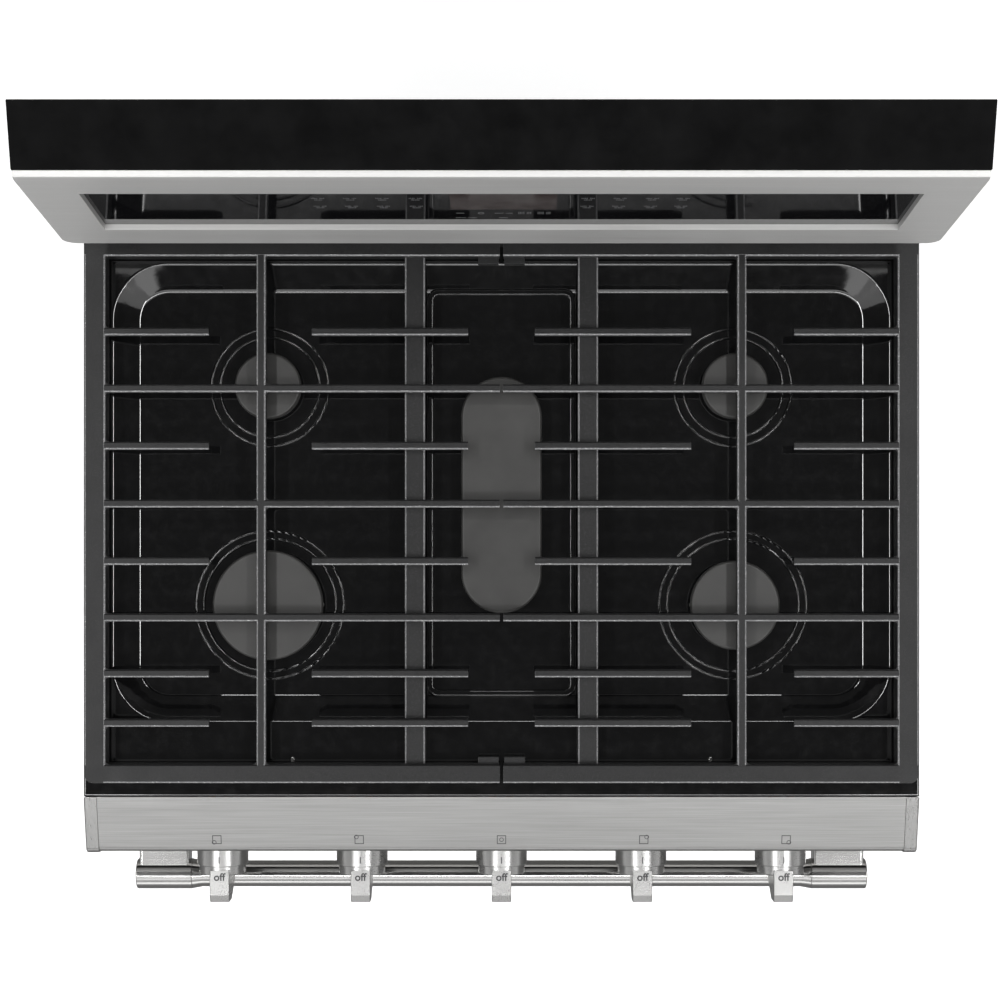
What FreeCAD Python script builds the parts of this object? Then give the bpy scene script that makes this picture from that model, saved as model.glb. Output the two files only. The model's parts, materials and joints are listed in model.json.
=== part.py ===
"""Freestanding gas range: cabinet, oven, cooktop, backguard, controls and storage drawer.

Millimetres. The origin is on the floor under the middle of the whole object, +Z is up,
the front (door and knobs) faces -Y and the backguard stands at the rear, towards +Y.
"""
import FreeCAD, Part
import math
import os

os.makedirs("parts", exist_ok=True)
V = FreeCAD.Vector

# ---------------------------------------------------------------- driving dimensions
WIDTH = 760.0             # over the side panels
BODY_REAR = 346.0         # outside of the rear panel
BODY_FRONT = -232.0       # face that the door closes against
FLOOR_GAP = 30.0          # clear height under the cabinet
REAR_PANEL_Y = 336.0      # inside of the rear cover, set in from the body's rear edge
LEG_PLACES = [(x, y) for x in (-335.0, 335.0) for y in (-185.0, 290.0)]
LEG_STUD_RADIUS = 5.0
RAIL_Z = 90.0             # running surface of the drawer rails
COOKTOP_Z = 914.0         # top of the cooktop's flange
SHEET = 1.5               # cabinet and panel sheet
SLIDING_GAP = 0.3         # air between bodies that pass each other

# cooktop pan
PAN_FRONT = -243.0
PAN_SKIRT = 20.0
PAN_FLOOR_Z = 900.0
RECESS_HALF_X = 353.5
RECESS_FRONT = -175.0
RECESS_REAR = 241.0
RECESS_CORNER = 26.0
WALL_RUN = 24.0           # plan width of the recess's sloping wall
RIM_RADIUS = 6.0          # rounding where the flange turns down into the wall
FOOT_RADIUS = 12.0        # rounding where the wall meets the dished floor
BEAD_HALF_X = 65.0
BEAD_FRONT = -153.0
BEAD_REAR = 222.0
BEAD_HEIGHT = 3.0
BEAD_WIDTH = 6.0
RING_HEIGHT = 1.4         # half-round ridges round each burner

# burners
BURNER_X = 212.0
REAR_BURNER_Y = 130.0
FRONT_BURNER_Y = -69.0
CENTRE_BURNER_Y = 31.0
REAR_CAP = 60.0           # cap diameters
FRONT_LEFT_CAP = 100.0
FRONT_RIGHT_CAP = 81.0
OVAL_WIDTH = 73.0
OVAL_LENGTH = 214.5
HEAD_TOP_Z = 911.0
CAP_THICK = 8.0
HEAD_INSET = 3.0          # how far the head stands inside the cap's edge

CAP_Z = HEAD_TOP_Z + SLIDING_GAP
BURNER_FOOT_Z = 880.0
HEAD_TUBE_RADIUS = 14.2
ROUND_BURNERS = [(-BURNER_X, REAR_BURNER_Y, REAR_CAP, (53.5, 45.5)),
                 (BURNER_X, REAR_BURNER_Y, REAR_CAP, (53.5, 45.5)),
                 (-BURNER_X, FRONT_BURNER_Y, FRONT_LEFT_CAP, (67.5, 60.5)),
                 (BURNER_X, FRONT_BURNER_Y, FRONT_RIGHT_CAP, (67.5, 60.5))]
PIN_INSET = 3.5           # spark pin's axis inside the cap's edge
ELECTRODE_PLACES = [(math.copysign(abs(x) - cap / 2 + PIN_INSET, x), y) for x, y, cap, rings in ROUND_BURNERS]
ELECTRODE_PLACES.append((OVAL_WIDTH / 2 - PIN_INSET, CENTRE_BURNER_Y))
NOTCH_RADIUS = 4.0        # recess in each head's edge for its spark pin
MIXER_RADIUS = 9.0        # gas way up through a head's base tube
PORT_DEPTH = 6.0          # flame ports, cut in from the head's edge
PORT_SILL = 5.5           # their lower end above the head's underside

# grates
GRATE_BEVEL = 1.3
GRATE_TOP = 938.0
GRATE_UNDER = 928.0       # underside of the thin bars
RAIL_UNDER = 919.0        # underside of the outer rails
GRATE_HALF_X = 374.0
GRATE_INNER_X = 1.6       # half of the gap between the two grates
GRATE_FRONT = -228.0
GRATE_REAR = 262.0
SIDE_RAIL = 18.6
FRONT_RAIL = 16.6
REAR_RAIL = 17.5
LONG_BAR_X = 215.6
LONG_BAR = 8.0
CROSS_BAR = 7.0
CROSS_BAR_Y = (126.0, 22.6, -79.5)
FINGER_Y = (177.0, 74.6, -28.9, -129.7, -174.0)
OUTER_FINGER_TIP = 262.5
MIDDLE_FINGER_TIP = 170.0
MIDDLE_FINGER_ROOT = 30.0
LOWER_RAIL_X = 78.0
LOWER_RAIL = 18.0
TAB_REACH = 5.0           # small locating tabs inside the front and rear rails

# control panel, knobs
PANEL_FRONT = -295.0
PANEL_EDGE_Z = 902.0      # where the sloping top turns down into the face
PANEL_BOTTOM = 836.0
PANEL_HALF_X = 368.0
END_CAP_WIDTH = 12.0
KNOB_Z = 868.0
KNOB_PITCH = 130.0
KNOB_NAMES = ("front_left", "rear_left", "centre", "rear_right", "front_right")
KNOB_X = [(i - 2) * KNOB_PITCH for i in range(5)]
KNOB_FACE = -319.0        # front of the knob's round body
KNOB_BACK = -305.0        # its back, inside the bezel
VALVE_FRONT = -284.0
MANIFOLD_Y = -237.0
OUTLET_HEIGHT = 2.0
BURNER_FEET = [(-BURNER_X, FRONT_BURNER_Y), (-BURNER_X, REAR_BURNER_Y), (0.0, CENTRE_BURNER_Y),
               (BURNER_X, REAR_BURNER_Y), (BURNER_X, FRONT_BURNER_Y)]
BEZEL_RADIUS = 23.7
BEZEL_DEPTH = 16.0
KNOB_RADIUS = 21.6
KNOB_TIP = -344.0
GRIP_WIDTH = 18.0
GRIP_RISE = 0.6           # how far the grip stands above the round body
GRIP_BACK = -314.6        # its rear end, clear of the bezel when the knob is pushed in
STEM_RADIUS = 4.0
COLLAR_RADIUS = 7.0

# oven
CAVITY_HALF_X = 305.0
LINER_FRONT = -225.0
CAVITY_REAR = 215.0
CAVITY_FLOOR = 290.0
CAVITY_TOP = 752.0
OVEN_FLOOR_Z = 318.0      # removable floor plate above the bake burner
RACK_Z = 500.0
RACK_WIRE = 3.0           # radius of the rack's frame wire
GUIDE_LEVELS = [374.2, 434.2, 494.2, 554.2, 614.2, 674.2]
RACK_HALF_X = 294.0
BAKE_HALF_X = 120.0
BAKE_Z = 304.0
BROIL_HALF_X = 90.0
BROIL_Z = 735.0
FAN_Z = 560.0
FAN_RADIUS = 68.0
FAN_SHAFT_RADIUS = 4.0
FAN_COVER_Y = 184.0
LAMP_X = -240.0
LAMP_Z = 705.0

# door
DOOR_FRONT = -285.0
DOOR_SHELL_REAR = -250.0
DOOR_REAR = -240.0
DOOR_BOTTOM = 211.0
DOOR_TOP = 828.0
DOOR_HALF_X = 377.0
DOOR_PIVOT = V(0, -262.0, 236.0)
WINDOW_HALF_X = 250.0
WINDOW_BOTTOM = 400.0
WINDOW_TOP = 680.0
WINDOW_LAP = 12.0         # glass behind the sheet, all round the opening
INNER_GLASS_HALF_X = 236.0
INNER_GLASS_BOTTOM = 410.0
INNER_GLASS_TOP = 670.0
HANDLE_Z = 800.0
HANDLE_Y = -331.5
HANDLE_HALF_X = 352.0
BARREL_RADIUS = 14.5
BARREL_LENGTH = 54.0
CONE_LENGTH = 9.0
BAR_RADIUS = 12.5

HINGE_X = 350.0
HINGE_PIN_RADIUS = 4.0

# gas and power at the rear
GAS_X = -325.0
GAS_Z = 90.0
GAS_BOSS_RADIUS = 15.0
GAS_BORE_RADIUS = 9.2
GAS_BORE_LENGTH = 16.0
GAS_PIPE_Y = 300.0
CORD_BORE_RADIUS = 6.0
CORD_X = 300.0
CORD_Z = 120.0

# drawer
DRAWER_BOTTOM = 40.0
DRAWER_TOP = 202.0
DRAWER_FRONT_THICK = 20.0
DRAWER_HALF_X = 330.0
DRAWER_REAR = 230.0

# backguard
GUARD_HALF_X = 379.0
GUARD_REAR = 322.0
GUARD_TOP = 1190.0
GUARD_RISER_Y = 268.0
FACE_FOOT = (247.0, 991.0)
FACE_HEAD = (267.0, 1164.5)
LIP_POINT = (273.0, 1175.0)
FACE_CORNER = 12.0        # rounding of the face's lower corners
GLASS_HALF_X = 336.0
GLASS_BOTTOM = 1031.0
GLASS_TOP = 1130.0
GLASS_RECESS = 4.7
COVER_THICK = 3.0


# ---------------------------------------------------------------- helpers
def export(name, shape):
    """Write one node; a list of solids becomes one group of separate solids."""
    if isinstance(shape, (list, tuple)):
        shape = Part.makeCompound(list(shape))
    shape.exportStep("parts/%s.step" % name)


def block(x0, x1, y0, y1, z0, z1):
    """A box between two corners, given as pairs of limits."""
    return Part.makeBox(x1 - x0, y1 - y0, z1 - z0, V(x0, y0, z0))


def rod(start, end, radius):
    """A round bar between two points."""
    a, b = V(*start), V(*end)
    return Part.makeCylinder(radius, (b - a).Length, a, b - a)


def fuse(solids):
    """One solid made of several that meet."""
    first, rest = solids[0], list(solids[1:])
    return first.fuse(rest).removeSplitter() if rest else first


def mirrored(shape):
    """The same shape on the other side of the object's middle plane."""
    return shape.mirror(V(0, 0, 0), V(1, 0, 0))


def prism_x(points, x0, x1):
    """An outline in Y and Z, extruded along X."""
    face = Part.Face(Part.makePolygon([V(x0, y, z) for y, z in points + [points[0]]]))
    return face.extrude(V(x1 - x0, 0, 0))


def round_rect(x0, x1, y0, y1, z, radius):
    """A flat wire: a rectangle with round corners."""
    box = block(x0, x1, y0, y1, z, z + 1.0)
    upright = [e for e in box.Edges if abs(e.tangentAt(e.FirstParameter).z) > 0.9]
    solid = box.makeFillet(radius, upright)
    return min(solid.Faces, key=lambda f: f.CenterOfMass.z).OuterWire


def round_block(x0, x1, y0, y1, z0, z1, radius):
    """A box with its four upright edges rounded."""
    face = Part.Face(round_rect(x0, x1, y0, y1, z0, radius))
    return face.extrude(V(0, 0, z1 - z0))


def upright_ring(x0, x1, z0, z1, y0, y1, border, radius):
    """A flat picture-frame in X and Z, from y0 to y1."""
    def plate(inset):
        box = block(x0 + inset, x1 - inset, y0, y1, z0 + inset, z1 - inset)
        along_y = [e for e in box.Edges if abs(e.tangentAt(e.FirstParameter).y) > 0.9]
        return box.makeFillet(max(radius - inset, 2.0), along_y)
    return plate(0.0).cut(plate(border))


def stadium(width, length, z0, height):
    """An upright oval plug: two half circles joined by straight sides, long along Y."""
    r = width / 2.0
    half = (length - width) / 2.0
    ends = [Part.makeCylinder(r, height, V(0, s * half, z0)) for s in (-1, 1)]
    return fuse([block(-r, r, -half, half, z0, z0 + height)] + ends)


def pipe_run(points, radius):
    """A tube along straight runs with ball joints at the bends."""
    pieces = [rod(a, b, radius) for a, b in zip(points, points[1:])]
    pieces += [Part.makeSphere(radius, V(*p)) for p in points[1:-1]]
    return fuse(pieces)


# ---------------------------------------------------------------- cabinet
def side_panel():
    """Right-hand cabinet side: a sheet with folded top, bottom and rear edges."""
    half = WIDTH / 2.0
    top = COOKTOP_Z - PAN_SKIRT - 1.0
    sheet = block(half - SHEET, half, BODY_FRONT, BODY_REAR, FLOOR_GAP, top)
    foot = block(half - 20.0, half, BODY_FRONT, BODY_REAR, FLOOR_GAP, FLOOR_GAP + SHEET)
    rear = block(half - 18.0, half, BODY_REAR - SHEET, BODY_REAR, FLOOR_GAP, top)
    return fuse([sheet, foot, rear])


def rear_panel():
    """Rear cover, set in from the sides' rear edges, with vents, gas and cord holes."""
    half = WIDTH / 2.0 - SHEET
    y = REAR_PANEL_Y
    panel = block(-half, half, y, y + SHEET, FLOOR_GAP + 2 * SHEET, COOKTOP_Z - PAN_SKIRT - 1.0)
    cuts = [rod((GAS_X, y - 5, GAS_Z), (GAS_X, y + 5, GAS_Z), GAS_BOSS_RADIUS + 1.0)]
    cuts.append(rod((CORD_X, y - 5, CORD_Z), (CORD_X, y + 5, CORD_Z), 12.0))
    for row in range(3):
        for column in range(9):
            x = (column - 4) * 50.0
            z = 770.0 + row * 24.0
            cuts.append(block(x - 18.0, x + 18.0, y - 5, y + 5, z, z + 5.0))
    return panel.cut(Part.makeCompound(cuts))


def base_frame():
    """Bottom frame with the fixed drawer rails and the threaded bosses of the legs."""
    half = WIDTH / 2.0 - SHEET - 0.2
    z0 = FLOOR_GAP + SHEET
    ring = block(-half, half, BODY_FRONT, REAR_PANEL_Y, z0, z0 + 2.0)
    ring = ring.cut(block(-300, 300, BODY_FRONT + 60, REAR_PANEL_Y - 60, z0 - 1, z0 + 5))
    pieces = [ring]
    for side in (-1, 1):
        outer = side * half
        inner = side * (half - SHEET)
        low, high = sorted((outer, inner))
        pieces.append(block(low, high, BODY_FRONT, REAR_PANEL_Y - 10, z0, RAIL_Z + 20.0))
        low, high = sorted((outer, side * (half - 20.0)))
        for z in (RAIL_Z - SHEET, RAIL_Z + 18.5):
            pieces.append(block(low, high, BODY_FRONT, REAR_PANEL_Y - 10, z, z + SHEET))
    frame = fuse(pieces)
    for x, y in LEG_PLACES:
        boss = Part.makeCylinder(11.0, 11.0, V(x, y, z0))
        frame = frame.fuse(boss).cut(Part.makeCylinder(LEG_STUD_RADIUS + 0.1, 30.0, V(x, y, z0 - 5)))
    return frame


def levelling_legs():
    """Four screw feet: a wide foot and a threaded rod each."""
    legs = []
    for x, y in LEG_PLACES:
        foot = Part.makeCone(20.0, 17.0, 12.0, V(x, y, 0))
        corners = [V(x + 9.0 * math.cos(k * math.pi / 3), y + 9.0 * math.sin(k * math.pi / 3), 12.0)
                   for k in range(6)]
        hexagon = Part.Face(Part.makePolygon(corners + corners[:1])).extrude(V(0, 0, 8.0))
        stud = Part.makeCylinder(LEG_STUD_RADIUS, 32.0, V(x, y, 12.0))
        legs.append(fuse([foot, hexagon, stud]))
    return legs


def front_frame():
    """Face frame that the oven door closes against."""
    half = WIDTH / 2.0 - SHEET - 0.3
    plate = block(-half, half, BODY_FRONT, LINER_FRONT - SHEET - 0.2, DOOR_BOTTOM, PANEL_BOTTOM - 4.0)
    opening = block(-CAVITY_HALF_X - 2, CAVITY_HALF_X + 2, BODY_FRONT - 5, LINER_FRONT + 5,
                    CAVITY_FLOOR - 2, CAVITY_TOP + 2)
    plate = plate.cut(opening)
    for side in (-1, 1):
        x = side * HINGE_X
        plate = plate.cut(block(x - 5, x + 5, BODY_FRONT - 5, LINER_FRONT + 5, 226.0, 246.0))
    return plate


def door_gasket():
    """Woven seal round the oven's mouth, just clear of the closed door."""
    return upright_ring(-CAVITY_HALF_X - 22, CAVITY_HALF_X + 22, CAVITY_FLOOR - 22, CAVITY_TOP + 22,
                        DOOR_REAR + SLIDING_GAP, BODY_FRONT, 11.0, 30.0)


# ---------------------------------------------------------------- oven
def oven_liner():
    """Enamelled oven box, open in front, with a flange round its mouth."""
    t = SHEET
    x, y0, y1, z0, z1 = CAVITY_HALF_X, LINER_FRONT, CAVITY_REAR, CAVITY_FLOOR, CAVITY_TOP
    shell = block(-x - t, x + t, y0 - t, y1 + t, z0 - t, z1 + t)
    flange = block(-x - 26, x + 26, y0 - t, y0, z0 - 20, z1 + 20)
    shell = shell.fuse(flange).cut(block(-x, x, y0 - 5, y1, z0, z1))
    holes = [rod((0, y1 - 5, FAN_Z), (0, y1 + 5, FAN_Z), 9.0)]
    for half, z in ((BAKE_HALF_X, BAKE_Z), (BROIL_HALF_X, BROIL_Z)):
        holes += [rod((s * half, y1 - 5, z), (s * half, y1 + 5, z), 9.0) for s in (-1, 1)]
    holes.append(rod((LAMP_X, y1 - 5, LAMP_Z), (LAMP_X, y1 + 5, LAMP_Z), 18.5))
    return shell.cut(Part.makeCompound(holes))


def oven_floor_plate():
    """Removable floor over the bake burner, slotted along both sides."""
    plate = block(-CAVITY_HALF_X + 1, CAVITY_HALF_X - 1, LINER_FRONT + 4, CAVITY_REAR - 2,
                  OVEN_FLOOR_Z, OVEN_FLOOR_Z + SHEET)
    for side in (-1, 1):
        low, high = sorted((side * (CAVITY_HALF_X - 1), side * (CAVITY_HALF_X - 1 - SHEET)))
        plate = plate.fuse(block(low, high, LINER_FRONT + 4, CAVITY_REAR - 2, CAVITY_FLOOR, OVEN_FLOOR_Z))
    slots = []
    for side in (-1, 1):
        for i in range(9):
            y = -180.0 + i * 42.0
            x = side * 265.0
            slots.append(block(x - 14, x + 14, y - 4, y + 4, OVEN_FLOOR_Z - 2, OVEN_FLOOR_Z + 5))
    return plate.cut(Part.makeCompound(slots))


def tube_burner(half, z, front):
    """A U of burner tube that comes in through the oven's rear wall."""
    path = [(-half, CAVITY_REAR + 30, z), (-half, front, z), (half, front, z), (half, CAVITY_REAR + 30, z)]
    return pipe_run(path, 8.0)


def rack_guides():
    """Two wire ladders on the oven's side walls."""
    ladders = []
    for side in (-1, 1):
        x = side * (CAVITY_HALF_X - 7.0)
        rods = [rod((x, -205, z), (x, 180, z), 2.5) for z in GUIDE_LEVELS]
        rods += [rod((side * (CAVITY_HALF_X - 2.8), y, GUIDE_LEVELS[0] - 12),
                     (side * (CAVITY_HALF_X - 2.8), y, GUIDE_LEVELS[-1] + 12), 2.5) for y in (-190, -10, 170)]
        ladders.append(fuse(rods))
    return ladders


def oven_rack():
    """Wire shelf: a frame, lengthwise wires and a raised stop wire at the rear."""
    x, y0, y1, r = RACK_HALF_X, -208.0, 172.0, RACK_WIRE
    frame = pipe_run([(-x, y0, RACK_Z), (x, y0, RACK_Z), (x, y1, RACK_Z), (-x, y1, RACK_Z),
                      (-x, y0, RACK_Z)], r)
    frame = frame.fuse(Part.makeSphere(r, V(-x, y0, RACK_Z)))
    wires = []
    count = 22
    for i in range(1, count):
        wx = -x + 2 * x * i / count
        wires.append(rod((wx, y0, RACK_Z + 1.5), (wx, y1, RACK_Z + 1.5), 1.8))
    for y in (-80.0, 60.0):
        wires.append(rod((-x, y, RACK_Z - 2.0), (x, y, RACK_Z - 2.0), 2.5))
    stop = pipe_run([(-x + 20, y1, RACK_Z), (-x + 20, y1, RACK_Z + 22), (x - 20, y1, RACK_Z + 22),
                     (x - 20, y1, RACK_Z)], 2.5)
    return fuse([frame] + wires + [stop])


def fan_shroud():
    """Slotted cover over the convection fan, with its skirt against the rear wall."""
    y = FAN_COVER_Y
    cover = block(-120, 120, y, CAVITY_REAR, FAN_Z - 105, FAN_Z + 105)
    edges = [e for e in cover.Edges if abs(e.tangentAt(e.FirstParameter).y) > 0.9]
    cover = cover.makeFillet(25.0, edges)
    hollow = block(-118, 118, y + SHEET, CAVITY_REAR + 1, FAN_Z - 103, FAN_Z + 103)
    edges = [e for e in hollow.Edges if abs(e.tangentAt(e.FirstParameter).y) > 0.9]
    cover = cover.cut(hollow.makeFillet(23.0, edges))
    slots = []
    for i in range(-5, 6):
        z = FAN_Z + i * 10.0
        half = math.sqrt(62.0 ** 2 - (i * 10.0) ** 2)
        slots.append(block(-half, half, y - 1, y + 3, z - 2.5, z + 2.5))
    for side in (-1, 1):
        for i in range(-3, 4):
            x0, x1 = sorted((side * 117.0, side * 121.0))
            z = FAN_Z + i * 22.0
            slots.append(block(x0, x1, y + 8, y + 20, z - 4, z + 4))
    return cover.cut(Part.makeCompound(slots))


def convection_fan():
    """Impeller and shaft."""
    y0, y1 = FAN_COVER_Y + 6.0, CAVITY_REAR - 6.0
    disc = rod((0, y1 - 2, FAN_Z), (0, y1, FAN_Z), FAN_RADIUS)
    hub = rod((0, y0, FAN_Z), (0, y1, FAN_Z), 12.0)
    shaft = rod((0, y0, FAN_Z), (0, CAVITY_REAR + 32.0, FAN_Z), FAN_SHAFT_RADIUS)
    blades = []
    for i in range(12):
        blade = block(30, FAN_RADIUS - 2, y0 + 1, y1 - 1, FAN_Z - 1, FAN_Z + 1)
        blade.rotate(V(0, 0, FAN_Z), V(0, 1, 0), i * 30.0)
        blades.append(blade)
    return fuse([disc, hub, shaft] + blades)


def fan_motor():
    """Motor on the outside of the oven's rear wall, with the shaft's bearing bore."""
    y = CAVITY_REAR + SHEET
    plate = block(-45, 45, y + 0.2, y + 3.0, FAN_Z - 45, FAN_Z + 45)
    can = rod((0, y + 3.0, FAN_Z), (0, y + 58.0, FAN_Z), 36.0)
    bore = rod((0, y - 1, FAN_Z), (0, y + 34.0, FAN_Z), FAN_SHAFT_RADIUS + 0.06)
    return fuse([plate, can]).cut(bore)


def oven_lamp():
    """Lamp holder through the rear wall and its glass lens."""
    y = CAVITY_REAR
    holder = rod((LAMP_X, y - 1.0, LAMP_Z), (LAMP_X, y + 34.0, LAMP_Z), 17.5)
    lens = Part.makeSphere(34.0, V(LAMP_X, y + 12.0, LAMP_Z))
    lens = lens.common(block(LAMP_X - 50, LAMP_X + 50, y - 40, y - 1, LAMP_Z - 50, LAMP_Z + 50))
    return fuse([holder, lens])


# ---------------------------------------------------------------- cooktop and burners
def recess_solid(grow):
    """The dished hollow of the pan; grow widens it and sinks its floor."""
    x, y0, y1 = RECESS_HALF_X + grow, RECESS_FRONT - grow, RECESS_REAR + grow
    run = WALL_RUN
    top = round_rect(-x, x, y0, y1, COOKTOP_Z, RECESS_CORNER + run)
    floor = round_rect(-x + run, x - run, y0 + run, y1 - run, PAN_FLOOR_Z - grow, RECESS_CORNER)
    return Part.makeLoft([top, floor], True, True)


def cooktop_pan():
    """Pressed cooktop: flange, skirts, dished floor, centre bead and burner rings."""
    half = WIDTH / 2.0
    low = COOKTOP_Z - PAN_SKIRT
    outer = block(-half, half, PAN_FRONT, BODY_REAR, low, COOKTOP_Z)
    edges = [e for e in outer.Edges if abs(e.CenterOfMass.z - COOKTOP_Z) < 0.1]
    outer = outer.makeFillet(2.0, edges)
    under = block(-half + SHEET, half - SHEET, PAN_FRONT + SHEET, BODY_REAR - SHEET,
                  low - 1, COOKTOP_Z - SHEET)
    z = PAN_FLOOR_Z
    pan = outer.cut(recess_solid(0.0))
    rim = [e for e in pan.Edges if e.BoundBox.ZMin > COOKTOP_Z - 0.05 and e.BoundBox.XMax < half - 10
           and e.BoundBox.XMin > -half + 10]
    pan = pan.makeFillet(RIM_RADIUS, rim)
    foot = [e for e in pan.Edges if abs(e.BoundBox.ZMin - z) < 0.05 and abs(e.BoundBox.ZMax - z) < 0.05]
    pan = pan.makeFillet(FOOT_RADIUS, foot)
    pan = pan.cut(under.cut(recess_solid(SHEET)))
    bead = round_block(-BEAD_HALF_X - BEAD_WIDTH / 2, BEAD_HALF_X + BEAD_WIDTH / 2, BEAD_FRONT,
                       BEAD_REAR - 2, z - 0.5, z + BEAD_HEIGHT, 10.0)
    hollow = round_block(-BEAD_HALF_X + BEAD_WIDTH / 2, BEAD_HALF_X - BEAD_WIDTH / 2, BEAD_FRONT + BEAD_WIDTH,
                         BEAD_REAR - 2 - BEAD_WIDTH, z - 1, z + 9, 5.0)
    bead = bead.cut(hollow)
    bead = bead.makeFillet(1.8, [e for e in bead.Edges if e.BoundBox.ZMin > z + BEAD_HEIGHT - 0.1])
    pan = pan.fuse(bead)
    for x, y, cap, rings in ROUND_BURNERS:
        for ring in rings:
            pan = pan.fuse(Part.makeTorus(ring, RING_HEIGHT, V(x, y, z)))
    for x, y, cap, rings in ROUND_BURNERS:
        pan = pan.cut(Part.makeCylinder(HEAD_TUBE_RADIUS + 0.4, 20.0, V(x, y, z - 10)))
    pan = pan.cut(Part.makeCylinder(HEAD_TUBE_RADIUS + 0.4, 20.0, V(0, CENTRE_BURNER_Y, z - 10)))
    for x, y in ELECTRODE_PLACES:
        pan = pan.cut(Part.makeCylinder(3.2, 20.0, V(x, y, z - 10)))
    return pan


def notch(x, y):
    """Cutter for the recess that a spark pin stands in."""
    return Part.makeCylinder(NOTCH_RADIUS, 14.0, V(x, y, PAN_FLOOR_Z))


def round_burner_head(x, y, cap):
    """Burner head: base tube, flange and a ring of flame ports."""
    r = cap / 2.0 - HEAD_INSET
    z = PAN_FLOOR_Z + 0.2
    tube = Part.makeCylinder(HEAD_TUBE_RADIUS, z - BURNER_FOOT_Z, V(x, y, BURNER_FOOT_Z))
    flange = Part.makeCylinder(r + 1.5, 3.0, V(x, y, z))
    ring = Part.makeCylinder(r, HEAD_TOP_Z - z, V(x, y, z))
    head = fuse([tube, flange, ring])
    head = head.cut(Part.makeCylinder(MIXER_RADIUS, 60.0, V(x, y, BURNER_FOOT_Z + 4)))
    head = head.cut(notch(math.copysign(abs(x) - cap / 2 + PIN_INSET, x), y))
    ports = []
    count = int(r * 0.8)
    for i in range(count):
        port = block(x + r - PORT_DEPTH, x + r + 2.0, y - 1.0, y + 1.0, z + PORT_SILL, HEAD_TOP_Z + 1)
        port.rotate(V(x, y, 0), V(0, 0, 1), 360.0 * i / count)
        ports.append(port)
    return head.cut(Part.makeCompound(ports))


def centre_burner_head():
    """Long oval head of the centre burner."""
    y, z = CENTRE_BURNER_Y, PAN_FLOOR_Z + 0.2
    width, length = OVAL_WIDTH - 2 * HEAD_INSET, OVAL_LENGTH - 2 * HEAD_INSET
    body = fuse([Part.makeCylinder(HEAD_TUBE_RADIUS, z - BURNER_FOOT_Z, V(0, 0, BURNER_FOOT_Z)),
                 stadium(width + 3, length + 3, z, 3.0), stadium(width, length, z, HEAD_TOP_Z - z)])
    body = body.cut(Part.makeCylinder(MIXER_RADIUS, 60.0, V(0, 0, BURNER_FOOT_Z + 4)))
    ports = []
    straight = (length - width) / 2.0
    for side in (-1, 1):
        for i in range(11):
            py = -straight + i * straight / 5.0
            x0, x1 = sorted((side * (width / 2 - PORT_DEPTH), side * (width / 2 + 2)))
            ports.append(block(x0, x1, py - 1, py + 1, z + PORT_SILL, HEAD_TOP_Z + 1))
    body = body.cut(Part.makeCompound(ports))
    body.translate(V(0, y, 0))
    return body.cut(notch(OVAL_WIDTH / 2 - PIN_INSET, y))


def round_cap(x, y, cap):
    """Loose enamelled cap that covers a round head."""
    disc = Part.makeCylinder(cap / 2.0, CAP_THICK, V(x, y, CAP_Z))
    top = [e for e in disc.Edges if e.BoundBox.ZMin > CAP_Z + CAP_THICK - 0.1]
    return disc.makeFillet(2.6, top)


def centre_cap():
    """Loose oval cap."""
    cap = stadium(OVAL_WIDTH, OVAL_LENGTH, CAP_Z, CAP_THICK)
    cap = cap.makeFillet(2.6, [e for e in cap.Edges if e.BoundBox.ZMin > CAP_Z + CAP_THICK - 0.1])
    cap.translate(V(0, CENTRE_BURNER_Y, 0))
    return cap


def electrodes():
    """Ceramic spark pins, one beside each head."""
    pins = []
    for x, y in ELECTRODE_PLACES:
        ceramic = Part.makeCylinder(2.6, 25.0, V(x, y, 882.0))
        tip = Part.makeCylinder(0.8, 3.0, V(x, y, 907.0))
        pins.append(fuse([ceramic, tip]))
    return pins


# ---------------------------------------------------------------- grates
def bar_section(centre, width, z0, z1):
    """Outline of a cast bar: straight sides and a bevel along each top edge."""
    h, c = width / 2.0, GRATE_BEVEL
    return [(centre - h, z0), (centre + h, z0), (centre + h, z1 - c), (centre + h - c, z1),
            (centre - h + c, z1), (centre - h, z1 - c)]


def bar_x(x0, x1, y, width, z0=GRATE_UNDER, z1=GRATE_TOP):
    """A bar along X."""
    return prism_x(bar_section(y, width, z0, z1), x0, x1)


def bar_y(y0, y1, x, width, z0=GRATE_UNDER, z1=GRATE_TOP):
    """A bar along Y."""
    bar = prism_x(bar_section(-x, width, z0, z1), y0, y1)
    bar.rotate(V(0, 0, 0), V(0, 0, 1), 90)
    return bar


def finger(x0, x1, y, tip_at_low):
    """A short bar whose free end slopes back underneath."""
    bar = bar_x(x0, x1, y, CROSS_BAR)
    tip = x0 if tip_at_low else x1
    back = tip + (9.0 if tip_at_low else -9.0)
    z0, z1 = GRATE_UNDER - 1, GRATE_TOP - 5.0
    face = Part.Face(Part.makePolygon([V(tip, y - 9, z0), V(back, y - 9, z0), V(tip, y - 9, z1),
                                       V(tip, y - 9, z0)]))
    return bar.cut(face.extrude(V(0, 18, 0)))


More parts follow.
